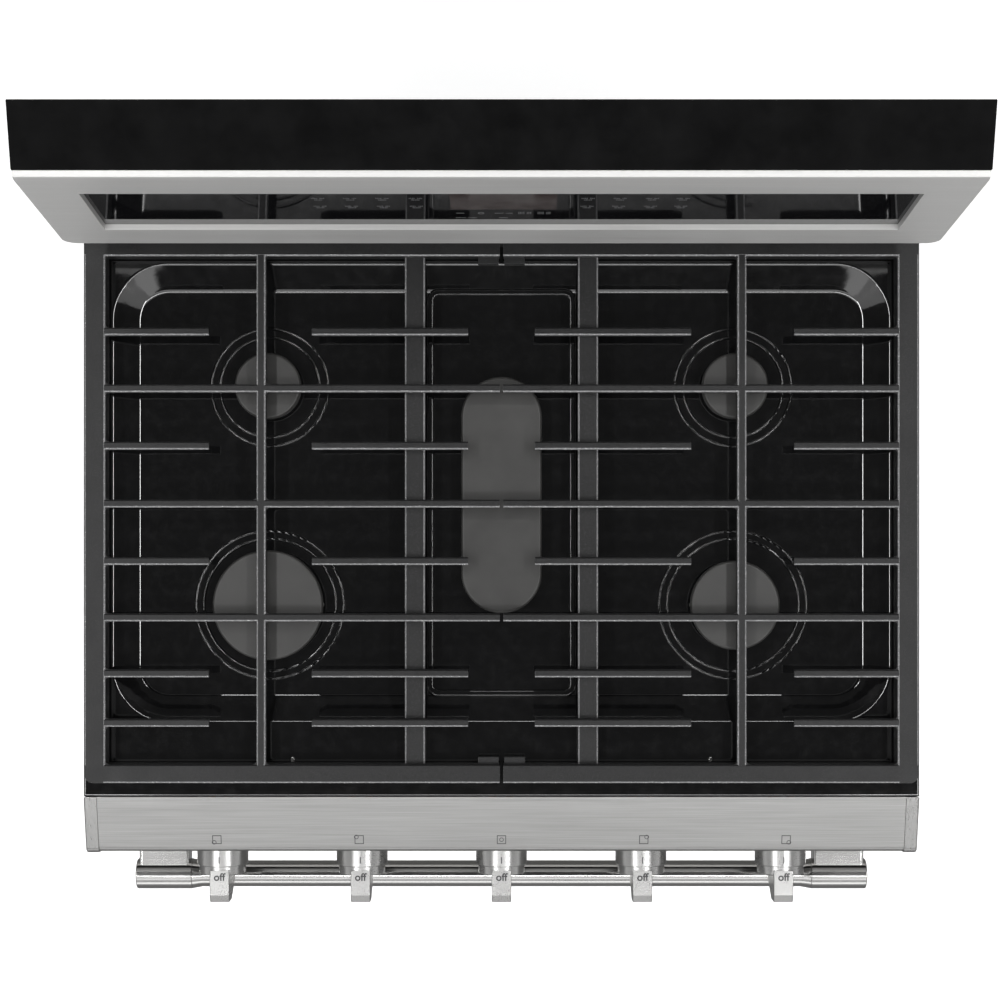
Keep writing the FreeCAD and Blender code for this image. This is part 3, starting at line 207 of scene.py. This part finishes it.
def gloss_enamel(name, color, rough=0.07, speckle=None, gloss=0.5):
    """Fired enamel: glassy, with a slow ripple, faint dust and, in an oven, pale flecks."""
    s = Shader(name, color, 0.0, rough, Specular_IOR_Level=gloss)
    dust = s.noise(90.0, detail=5.0, rough=0.7)
    s.color(s.mix(s.spread(dust, 0.45, 0.85), color, tuple(c * 1.6 + 0.002 for c in color)))
    if speckle:
        fleck = s.spread(s.cells(420.0), 0.10, 0.16)
        s.color(s.mix(fleck, speckle, color))
    s.roughness(s.spread(dust, 0.3, 0.8, rough * 0.7, rough * 1.8))
    s.bump(s.noise(22.0, detail=1.0), 0.0006, 0.10)
    s.bump(s.noise(260.0, detail=2.0), 0.00006, 0.20)
    return s.material


def cast_iron(name, low=(0.003, 0.003, 0.0032), high=(0.012, 0.012, 0.0125)):
    """Matte enamelled casting: sandy grain and pale specks, from its low colour to its high one."""
    s = Shader(name, (0.05, 0.05, 0.052), 0.0, 0.5, Specular_IOR_Level=0.33)
    grain = s.noise(750.0, detail=4.0, rough=0.65)
    blotch = s.noise(45.0, detail=3.0)
    base = s.mix(s.spread(grain, 0.35, 0.68), low, high)
    speck = s.spread(s.noise(1500.0, detail=1.0), 0.64, 0.72)
    s.color(s.mix(speck, base, tuple(min(1.0, c * 4.0) for c in high)))
    s.roughness(s.math("ADD", s.spread(grain, 0.3, 0.7, 0.36, 0.58), s.spread(blotch, 0.3, 0.7, -0.05, 0.05)))
    s.bump(grain, 0.00022, 0.55)
    s.bump(blotch, 0.0006, 0.15)
    return s.material


def matte_enamel(name, color, rough=0.5, gloss=0.5):
    """Burner caps and sheet paint: an even fine tooth with slight mottling."""
    s = Shader(name, color, 0.0, rough, Specular_IOR_Level=gloss)
    tooth = s.noise(1300.0, detail=2.0)
    mottle = s.noise(35.0, detail=4.0, rough=0.6)
    light = tuple(min(1.0, c * 1.25 + 0.004) for c in color)
    s.color(s.mix(s.spread(mottle, 0.3, 0.75), color, light))
    s.roughness(s.math("ADD", s.spread(tooth, 0.3, 0.7, rough - 0.06, rough + 0.08),
                       s.spread(mottle, 0.3, 0.7, -0.03, 0.03)))
    s.bump(tooth, 0.00005, 0.35)
    return s.material


def cast_metal(name, color, metallic=0.9, rough=0.5):
    """Die-cast or machined metal with a fine grain."""
    s = Shader(name, color, metallic, rough)
    grain = s.noise(600.0, detail=4.0, rough=0.6)
    dark = tuple(c * 0.82 for c in color)
    light = tuple(min(1, c * 1.1) for c in color)
    s.color(s.mix(s.spread(grain, 0.3, 0.7), dark, light))
    s.roughness(s.spread(grain, 0.3, 0.7, rough - 0.1, rough + 0.1))
    s.bump(grain, 0.00012, 0.4)
    return s.material


def galvanised(name):
    """Zinc-coated sheet: large soft crystals of slightly different grey."""
    s = Shader(name, (0.50, 0.51, 0.52), 0.85, 0.45)
    crystal = s.cells(70.0, "Color")
    fine = s.noise(300.0, detail=3.0)
    s.color(s.mix(s.spread(crystal, 0.2, 0.8), (0.47, 0.48, 0.49), (0.55, 0.56, 0.57)))
    s.roughness(s.math("ADD", s.spread(crystal, 0.2, 0.8, 0.40, 0.48), s.spread(fine, 0.3, 0.7, -0.04, 0.04)))
    s.bump(fine, 0.00005, 0.3)
    return s.material


def black_glass(name):
    """Dark fascia glass with the faintest haze."""
    s = Shader(name, (0.004, 0.004, 0.0045), 0.0, 0.03)
    haze = s.noise(14.0, detail=4.0)
    s.roughness(s.spread(haze, 0.3, 0.8, 0.02, 0.06))
    s.bump(s.noise(5.0, detail=0.0), 0.0004, 0.06)
    return s.material


def clear_glass(name):
    """Tinted inner pane of the oven door."""
    s = Shader(name, (0.42, 0.45, 0.45), 0.0, 0.02, Transmission_Weight=1.0, Alpha=0.55)
    s.roughness(s.spread(s.noise(20.0, detail=3.0), 0.3, 0.8, 0.01, 0.05))
    return s.material


def woven_fibre(name):
    """Glass-fibre rope of the door seal."""
    s = Shader(name, (0.30, 0.29, 0.27), 0.0, 0.9)
    weave = s.noise(700.0, detail=3.0, rough=0.7)
    s.color(s.mix(s.spread(weave, 0.3, 0.7), (0.20, 0.19, 0.18), (0.42, 0.41, 0.38)))
    s.bump(weave, 0.0003, 0.8)
    return s.material


def plastic(name, color, rough=0.45):
    """Moulded plastic, ink and ceramic: a fine tooth and slightly uneven colour."""
    s = Shader(name, color, 0.0, rough)
    tooth = s.noise(900.0, detail=2.0)
    s.color(s.mix(s.spread(s.noise(30.0), 0.3, 0.7), color, tuple(c * 1.15 + 0.002 for c in color)))
    s.roughness(s.spread(tooth, 0.3, 0.7, rough - 0.08, rough + 0.08))
    s.bump(tooth, 0.00006, 0.4)
    return s.material


# ------------------------------------------------------------------ mesh helpers
CRISP_DEGREES = 32.0      # sharper edges stay crisp in the shading
BEVEL_DEGREES = 35.0      # sharper edges get a rounded bevel


def new_object(name, mesh, material, body):
    """A visible piece that rides on a body."""
    piece = bpy.data.objects.new(name, mesh)
    SCENE.collection.objects.link(piece)
    mesh.materials.clear()
    mesh.materials.append(material)
    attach(piece, body)
    return piece


def smooth_by_angle(mesh):
    """Smooth shading, with sharp edges kept crisp."""
    bm = bmesh.new()
    bm.from_mesh(mesh)
    for face in bm.faces:
        face.smooth = True
    for edge in bm.edges:
        edge.smooth = len(edge.link_faces) == 2 and edge.calc_face_angle(0.0) < math.radians(CRISP_DEGREES)
    bm.to_mesh(mesh)
    bm.free()


def painted_highlight_bevel(polygon):
    """A bevel that looks upward, and forward or to a side: it gets a painted highlight, brighter iron
    standing in for the lamps' light on the edge.
    """
    return 0.30 < polygon.normal.z < 0.93 and polygon.normal.y < 0.3


def softened(node, material, width, highlight_material):
    """The CAD node's own shape with every sharp edge rounded; its bevels facing up and forward may get a
    brighter material as a painted highlight.
    """
    source = frame["nodes"][node]
    mesh = source.data.copy()
    bm = bmesh.new()
    bm.from_mesh(mesh)
    bmesh.ops.remove_doubles(bm, verts=bm.verts, dist=1e-6)
    bmesh.ops.dissolve_limit(bm, angle_limit=math.radians(0.6), verts=bm.verts, edges=bm.edges)
    bm.to_mesh(mesh)
    bm.free()
    piece = new_object(node + "_soft", mesh, material, source["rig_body"])
    if width > 0.0:
        bevel = piece.modifiers.new("edges", "BEVEL")
        bevel.width = width
        bevel.segments = 3
        bevel.limit_method = "ANGLE"
        bevel.angle_limit = math.radians(BEVEL_DEGREES)
    evaluated = piece.evaluated_get(bpy.context.evaluated_depsgraph_get())
    finished = bpy.data.meshes.new_from_object(evaluated)
    piece.modifiers.clear()
    piece.data = finished
    smooth_by_angle(finished)
    # Bevels facing up and forward take the second material, a painted highlight.
    if highlight_material is not None:
        finished.materials.append(highlight_material)
        for polygon in finished.polygons:
            if painted_highlight_bevel(polygon):
                polygon.material_index = 1
    weighted = piece.modifiers.new("normals", "WEIGHTED_NORMAL")
    weighted.keep_sharp = True
    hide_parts(node)


def dress(node, material):
    """A CAD node that keeps its shape gets its finish."""
    data = frame["nodes"][node].data
    data.materials.clear()
    data.materials.append(material)


# ------------------------------------------------------------------ materials of this object
STEEL = brushed_steel("brushed_steel")
FACE_STEEL = brushed_steel("face_steel", (0.58, 0.577, 0.57), 0.48, streak=0.06, metallic=0.55)
PANEL_STEEL = brushed_steel("panel_steel", (0.275, 0.274, 0.27), 0.33, streak=0.14)
CAP_STEEL = brushed_steel("end_cap_steel", (0.27, 0.269, 0.265), 0.30, "Y")
POLISHED = polished_steel("polished_steel")
KNOB_STEEL = polished_steel("knob_steel", "Z", 0.30, (0.38, 0.378, 0.373))
SIDE_PAINT = matte_enamel("side_paint", (0.010, 0.010, 0.011), 0.42)
COVER_PAINT = matte_enamel("cover_paint", (0.0004, 0.0004, 0.0005), 0.60, gloss=0.05)
PAN_ENAMEL = gloss_enamel("black_enamel", (0.004, 0.004, 0.0042), 0.06, gloss=1.0)
OVEN_ENAMEL = gloss_enamel("oven_enamel", (0.028, 0.030, 0.036), 0.16, (0.30, 0.31, 0.33))
CAP_ENAMEL = matte_enamel("burner_cap_enamel", (0.021, 0.0205, 0.0195), 0.46)
IRON = cast_iron("grate_iron")
# Brighter iron for the grates' front and side bevels: a painted highlight of the front and side lamps.
IRON_PAINTED_HIGHLIGHT = cast_iron("grate_painted_edge_highlight", (0.12, 0.12, 0.122), (0.26, 0.26, 0.265))
ZINC_SHEET = galvanised("galvanised_steel")
ALUMINIUM = cast_metal("burner_aluminium", (0.42, 0.42, 0.42), 0.9, 0.45)
ZINC_CAST = cast_metal("cast_zinc", (0.45, 0.45, 0.46), 0.8, 0.5)
BRASS = cast_metal("valve_brass", (0.60, 0.45, 0.20), 1.0, 0.32)
TUBE = cast_metal("tube_steel", (0.45, 0.45, 0.45), 1.0, 0.35)
WIRE = polished_steel("bright_wire")
CERAMIC = plastic("electrode_ceramic", (0.80, 0.79, 0.75), 0.35)
BLACK_GLASS = black_glass("black_glass")
CLEAR_GLASS = clear_glass("clear_glass")
SEAL = woven_fibre("seal_fibre")
BOARD = plastic("circuit_board", (0.02, 0.10, 0.04), 0.5)
PLASTIC = plastic("black_plastic", (0.02, 0.02, 0.02), 0.5)
FOOT = plastic("foot_metal", (0.025, 0.025, 0.025), 0.55)

SLOT_MATERIAL = {
    "brushed_steel": STEEL, "end_cap_steel": CAP_STEEL, "polished_steel": POLISHED,
    "side_paint": SIDE_PAINT, "galvanised_steel": ZINC_SHEET, "black_enamel": PAN_ENAMEL,
    "oven_enamel": OVEN_ENAMEL, "burner_cap_enamel": CAP_ENAMEL, "burner_aluminium": ALUMINIUM,
    "grate_iron": IRON, "electrode_ceramic": CERAMIC, "bright_wire": WIRE, "tube_steel": TUBE,
    "valve_brass": BRASS, "cast_zinc": ZINC_CAST, "black_glass": BLACK_GLASS, "clear_glass": CLEAR_GLASS,
    "seal_fibre": SEAL, "circuit_board": BOARD, "black_plastic": PLASTIC, "foot_metal": FOOT,
}
NODE_SLOT = {s["node"]: s["material_slot"] for s in frame["record"]["subparts"]}
# Bevel width in millimetres; a width of 0 leaves the edges and only cleans the shading.
SOFT_EDGE = {
    "left_grate": 0.9, "right_grate": 0.9, "control_panel": 0.5, "panel_end_caps": 0.6,
    "backguard_frame": 0.7, "backguard_cover": 0.8, "door_outer_panel": 0.5, "drawer_front": 0.5,
    "cooktop_pan": 0.0,
}
# Grate bevels facing up and forward get the brighter iron: a painted highlight.
EDGE_HIGHLIGHT = {"left_grate": IRON_PAINTED_HIGHLIGHT, "right_grate": IRON_PAINTED_HIGHLIGHT}
KNOBS = ("front_left", "rear_left", "centre", "rear_right", "front_right")
SPECIAL = {"backguard_frame": FACE_STEEL, "backguard_cover": COVER_PAINT, "control_panel": PANEL_STEEL,
           "knob_bezels": KNOB_STEEL}
SPECIAL.update({knob + "_knob": KNOB_STEEL for knob in KNOBS})


def dress_nodes():
    """Each node gets its slot's material, or its own; sheet and cast pieces also get soft edges."""
    for node, slot in NODE_SLOT.items():
        material = SPECIAL.get(node, SLOT_MATERIAL[slot])
        if node in SOFT_EDGE:
            softened(node, material, SOFT_EDGE[node] * MM, EDGE_HIGHLIGHT.get(node))
        else:
            dress(node, material)


# ------------------------------------------------------------------ printed marks, screws
INK = plastic("panel_ink", (0.030, 0.030, 0.032), 0.5)
PALE_INK = plastic("pale_ink", (0.13, 0.13, 0.133), 0.5)
DISPLAY = gloss_enamel("display_window", (0.017, 0.009, 0.008), 0.10)
KNOB_PITCH = 0.130
KNOB_Z = 0.868            # the knobs' axis above the floor
BODY_OF = {s["node"]: frame["nodes"][s["node"]]["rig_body"] for s in frame["record"]["subparts"]}


class Marks:
    """Thin raised ink in one mesh; flat shapes in a plane given by its origin and two directions."""

    def __init__(self, lift=0.00012):
        self.bm = bmesh.new()
        self.lift = lift
        self.plane(Vector(), Vector((1, 0, 0)), Vector((0, 1, 0)))

    def plane(self, origin, across, up):
        """The plane that the following shapes are drawn in."""
        self.origin = Vector(origin)
        self.across = Vector(across).normalized()
        self.up = Vector(up).normalized()
        self.out = self.across.cross(self.up)

    def polygon(self, points):
        """A closed slab under the given outline, so that every mark is a solid skin of ink."""
        rows = []
        for height in (-self.lift, self.lift):
            rows.append([self.bm.verts.new(self.origin + self.across * u + self.up * v + self.out * height)
                         for u, v in points])
        self.bm.faces.new(rows[1])
        self.bm.faces.new(list(reversed(rows[0])))
        for i in range(len(points)):
            j = (i + 1) % len(points)
            self.bm.faces.new((rows[0][i], rows[0][j], rows[1][j], rows[1][i]))

    def bar(self, u0, v0, u1, v1):
        self.polygon([(u0, v0), (u1, v0), (u1, v1), (u0, v1)])

    def frame(self, u, v, half, line):
        """A square outline."""
        self.bar(u - half, v - half, u + half, v - half + line)
        self.bar(u - half, v + half - line, u + half, v + half)
        self.bar(u - half, v - half + line, u - half + line, v + half - line)
        self.bar(u + half - line, v - half + line, u + half, v + half - line)

    def ring(self, u, v, radius, line):
        steps = 20
        for i in range(steps):
            a, b = (2 * math.pi * k / steps for k in (i, i + 1))
            self.polygon([(u + r * math.cos(t), v + r * math.sin(t))
                          for r, t in ((radius - line, a), (radius, a), (radius, b), (radius - line, b))])

    def words(self, u, v, height, lengths, seed):
        """Unreadable stand-ins for small print: short strokes spaced like letters, a word for each length."""
        for count in lengths:
            for i in range(count):
                tall = height * (0.72 + 0.28 * ((seed * 7 + i * 5) % 3) / 2.0)
                self.bar(u, v, u + height * 0.42, v + tall * 0.30)
                self.bar(u, v + tall * 0.62, u + height * (0.28 + 0.14 * ((seed + i) % 2)), v + tall)
                self.bar(u, v, u + height * 0.16, v + tall)
                u += height * 0.62
            u += height * 0.7
            seed += 1

    def build(self, name, material, body):
        mesh = bpy.data.meshes.new(name)
        bmesh.ops.recalc_face_normals(self.bm, faces=self.bm.faces)
        self.bm.to_mesh(mesh)
        self.bm.free()
        new_object(name, mesh, material, body)


# Faces of the grates' bars and rails, as on the CAD grates: where each is, and the way it faces along X or Y.
WEB_LEVEL, WEB_HALF_HEIGHT = 0.9327, 0.0041
WEB_RADIUS, WEB_SINK = 0.0034, 0.0008
BAR_HALF_WIDTH = 0.0035
LONG_BAR_SIDES = ((0.2196, 1), (0.2116, -1))
SIDE_RAIL = (0.3554, -1)
END_RAILS = ((-0.2114, 1), (0.2445, -1))
CROSS_BARS = (0.126, 0.0226, -0.0795)
SIDE_FINGERS = (0.177, 0.0746, -0.0289, -0.1297, -0.174)


def bar_sides(bars):
    """Front and back side of each bar, with the way each faces."""
    return [(y + way * BAR_HALF_WIDTH, way) for y in bars for way in (-1, 1)]


def grate_webs(side, node):
    """Casting fillets in the corners where a grate's bars meet each other and its rails."""
    webs = Marks(WEB_HALF_HEIGHT)
    webs.plane((0, 0, WEB_LEVEL), (1, 0, 0), (0, 1, 0))
    rows = bar_sides(CROSS_BARS) + list(END_RAILS)
    corners = [(x, sx, y, sy) for x, sx in LONG_BAR_SIDES + (SIDE_RAIL,) for y, sy in rows]
    corners += [SIDE_RAIL + row for row in bar_sides(SIDE_FINGERS)]
    for x, sx, y, sy in corners:
        x, sx = x * side, sx * side
        arc = [(x + sx * WEB_RADIUS * (1 - math.sin(t)), y + sy * WEB_RADIUS * (1 - math.cos(t)))
               for t in (k * math.pi / 12 for k in range(7))]
        sunk_x, sunk_y = x - sx * WEB_SINK, y - sy * WEB_SINK
        webs.polygon([(sunk_x, sunk_y), (x + sx * WEB_RADIUS, sunk_y)] + arc
                     + [(sunk_x, y + sy * WEB_RADIUS)])
    webs.build(node + "_webs", IRON, BODY_OF[node])


def panel_marks():
    """A small burner map over each knob: a square with a ring where that burner is."""
    marks = Marks()
    slope_back, slope_front = Vector((0, -0.2434, 0.914)), Vector((0, -0.290, 0.9034))
    marks.plane(slope_back.lerp(slope_front, 0.86), (1, 0, 0), slope_back - slope_front)
    for i, (du, dv) in enumerate(((-1, -1), (-1, 1), (0, 0), (1, 1), (1, -1))):
        x = (i - 2) * KNOB_PITCH
        marks.frame(x, 0.0, 0.0042, 0.0007)
        marks.ring(x + du * 0.0026, dv * 0.0026, 0.0021, 0.0006)
    marks.build("panel_burner_maps", INK, BODY_OF["control_panel"])


def knob_marks():
    """Index line on each bezel's crown and the word off on the top of each grip."""
    bezel_crown, grip_top = (-0.305, KNOB_Z + 0.0237), (-0.3205, KNOB_Z + 0.0222)
    bezels = Marks()
    for i, knob in enumerate(KNOBS):
        x = (i - 2) * KNOB_PITCH
        bezels.plane((x, *bezel_crown), (1, 0, 0), (0, 1, 0))
        bezels.bar(-0.0005, -0.0025, 0.0005, 0.0035)
        curve = bpy.data.curves.new(knob + "_word", "FONT")
        curve.body = "off"
        curve.size = 0.0098
        curve.align_x = "CENTER"
        curve.align_y = "CENTER"
        curve.extrude = 0.0002
        curve.offset = 0.00022
        text = bpy.data.objects.new(knob + "_word", curve)
        SCENE.collection.objects.link(text)
        mesh = bpy.data.meshes.new_from_object(text.evaluated_get(bpy.context.evaluated_depsgraph_get()))
        bpy.data.objects.remove(text)
        mesh.transform(Matrix.Translation((x, *grip_top)))
        new_object(knob + "_off_word", mesh, INK, BODY_OF[knob + "_knob"])
    bezels.build("bezel_index_lines", INK, BODY_OF["knob_bezels"])


def guard_marks():
    """Small print and the display window on the backguard's glass."""
    face_foot, face_head = Vector((0, 0.247, 0.991)), Vector((0, 0.267, 1.1645))
    glass_behind_face = Vector((0, 0.0047, 0))
    rise = (face_head - face_foot).normalized()
    surface = face_foot + rise * 0.090 + glass_behind_face
    pale = Marks()
    pale.plane(surface, (1, 0, 0), rise)
    for k, u in enumerate((-0.148, -0.122, -0.096, -0.069, 0.071, 0.097, 0.123, 0.148)):
        for level in (0.022, 0.001):
            pale.words(u - 0.0062, level, 0.0022, (4, 3), k)
            pale.words(u - 0.0040, level - 0.0042, 0.0022, (5,), k + 2)
    pale.bar(-0.0375, -0.0178, -0.0310, -0.0168)
    pale.ring(-0.0170, -0.0173, 0.0026, 0.0006)
    pale.words(-0.0055, -0.0185, 0.0024, (5, 4), 3)
    for u in (0.014, 0.030):
        for level in (-0.0160, -0.0196):
            pale.words(u, level, 0.0022, (4, 3), 2)
    pale.words(-0.038, -0.031, 0.0020, (7, 6), 1)
    pale.words(-0.002, -0.031, 0.0020, (6,), 2)
    pale.build("guard_print", PALE_INK, BODY_OF["backguard_glass"])
    window = Marks(0.0001)
    window.plane(surface, (1, 0, 0), rise)
    window.bar(-0.042, -0.007, 0.045, 0.042)
    window.build("display_window", DISPLAY, BODY_OF["backguard_glass"])


def screw_heads():
    """Two low screw heads, dished on top, on the cooktop's front flange."""
    bm = bmesh.new()
    for x in (-0.190, 0.190):
        made = bmesh.ops.create_cone(bm, cap_ends=True, segments=28, radius1=0.0026, radius2=0.0019,
                                     depth=0.0010, matrix=Matrix.Translation((x, -0.209, 0.9146)))
        top = [f for f in {f for v in made["verts"] for f in v.link_faces} if f.normal.z > 0.9]
        bmesh.ops.inset_region(bm, faces=top, thickness=0.0008)
        bmesh.ops.translate(bm, vec=(0, 0, -0.0006), verts=list({v for f in top for v in f.verts}))
    mesh = bpy.data.meshes.new("flange_screws")
    bm.to_mesh(mesh)
    bm.free()
    new_object("flange_screws", mesh, WIRE, BODY_OF["cooktop_pan"])


# ------------------------------------------------------------------ studio
def soft_box(name, place, target, width, height, radiance):
    """An area light given by how bright its face looks, unseen by the camera itself."""
    data = bpy.data.lights.new(name, "AREA")
    data.shape = "RECTANGLE"
    data.size = width
    data.size_y = height
    data.energy = radiance * math.pi * width * height
    light = bpy.data.objects.new(name, data)
    light.location = place
    light.visible_camera = False
    light.rotation_euler = (Vector(target) - Vector(place)).to_track_quat("-Z", "Y").to_euler()
    SCENE.collection.objects.link(light)


def studio():
    """A broad box overhead in front, strips that draw the enamel's edges, a box for the knobs, a soft sky."""
    soft_box("front_box", (0.0, -1.95, 3.9), (0.0, -1.95, 0.0), 5.6, 2.5, 0.90)
    soft_box("front_far", (0.0, -2.75, 3.88), (0.0, -2.75, 0.0), 5.6, 1.0, 0.7)
    soft_box("front_wall", (0.0, -4.2, 2.1), (0.0, -0.3, 0.95), 5.0, 1.2, 2.0)
    soft_box("knob_box", (0.0, -1.32, 1.58), (0.0, -0.34, 0.89), 2.6, 0.36, 0.7)
    soft_box("left_strip", (-1.30, 0.0, 3.3), (0.0, 0.0, 0.9), 2.6, 0.16, 24.0)
    soft_box("right_strip", (1.30, 0.0, 3.3), (0.0, 0.0, 0.9), 2.6, 0.16, 24.0)
    soft_box("back_strip", (0.0, 1.5, 3.4), (0.0, 0.0, 0.9), 2.6, 0.16, 14.0)
    soft_box("rim_strip", (0.0, -1.25, 3.75), (0.0, 0.2, 0.9), 3.0, 0.14, 12.0)
    soft_box("left_fill", (-3.0, -1.25, 1.95), (0.0, -0.6, 0.9), 1.2, 2.0, 1.0)
    soft_box("right_fill", (3.0, -1.25, 1.95), (0.0, -0.6, 0.9), 1.2, 2.0, 1.0)
    soft_sky()
    SCENE.view_settings.view_transform = "Standard"


def soft_sky():
    """Grey levels from straight down (0) over the horizon (0.5) to straight up (1)."""
    world = bpy.data.worlds.new("studio")
    SCENE.world = world
    world.use_nodes = True
    tree = world.node_tree
    coords = tree.nodes.new("ShaderNodeTexCoord")
    split = tree.nodes.new("ShaderNodeSeparateXYZ")
    tree.links.new(coords.outputs["Generated"], split.inputs["Vector"])
    ramp = tree.nodes.new("ShaderNodeValToRGB")
    stops = ((0.0, 0.26), (0.46, 0.26), (0.50, 0.55), (0.56, 0.70), (0.64, 0.05))
    while len(ramp.color_ramp.elements) < len(stops):
        ramp.color_ramp.elements.new(0.5)
    for element, (place, level) in zip(ramp.color_ramp.elements, stops):
        element.position = place
        element.color = (level, level, level, 1.0)
    to_unit = tree.nodes.new("ShaderNodeMath")
    to_unit.operation = "MULTIPLY_ADD"
    to_unit.inputs[1].default_value = 0.5
    to_unit.inputs[2].default_value = 0.5
    tree.links.new(split.outputs["Z"], to_unit.inputs[0])
    tree.links.new(to_unit.outputs["Value"], ramp.inputs["Fac"])
    tree.links.new(ramp.outputs["Color"], tree.nodes["Background"].inputs["Color"])


def pale_floor():
    """A plain white ground, far wider than any view."""
    mesh = bpy.data.meshes.new("floor")
    half = 60.0
    corners = [(-half, -half, 0), (half, -half, 0), (half, half, 0), (-half, half, 0)]
    mesh.from_pydata(corners, [], [(0, 1, 2, 3)])
    floor = bpy.data.objects.new("floor", mesh)
    SCENE.collection.objects.link(floor)
    s = Shader("pale_floor", (0.86, 0.86, 0.86), 0.0, 0.8)
    s.set("Emission Color", (1.0, 1.0, 1.0, 1.0))
    s.set("Emission Strength", 0.5)
    s.color(s.mix(s.spread(s.noise(0.6), 0.3, 0.7), (0.85, 0.85, 0.85), (0.88, 0.88, 0.88)))
    mesh.materials.append(s.material)
    floor.visible_glossy = False


make_camera()
dress_nodes()
grate_webs(1, "right_grate")
grate_webs(-1, "left_grate")
panel_marks()
knob_marks()
guard_marks()
screw_heads()
studio()
pale_floor()
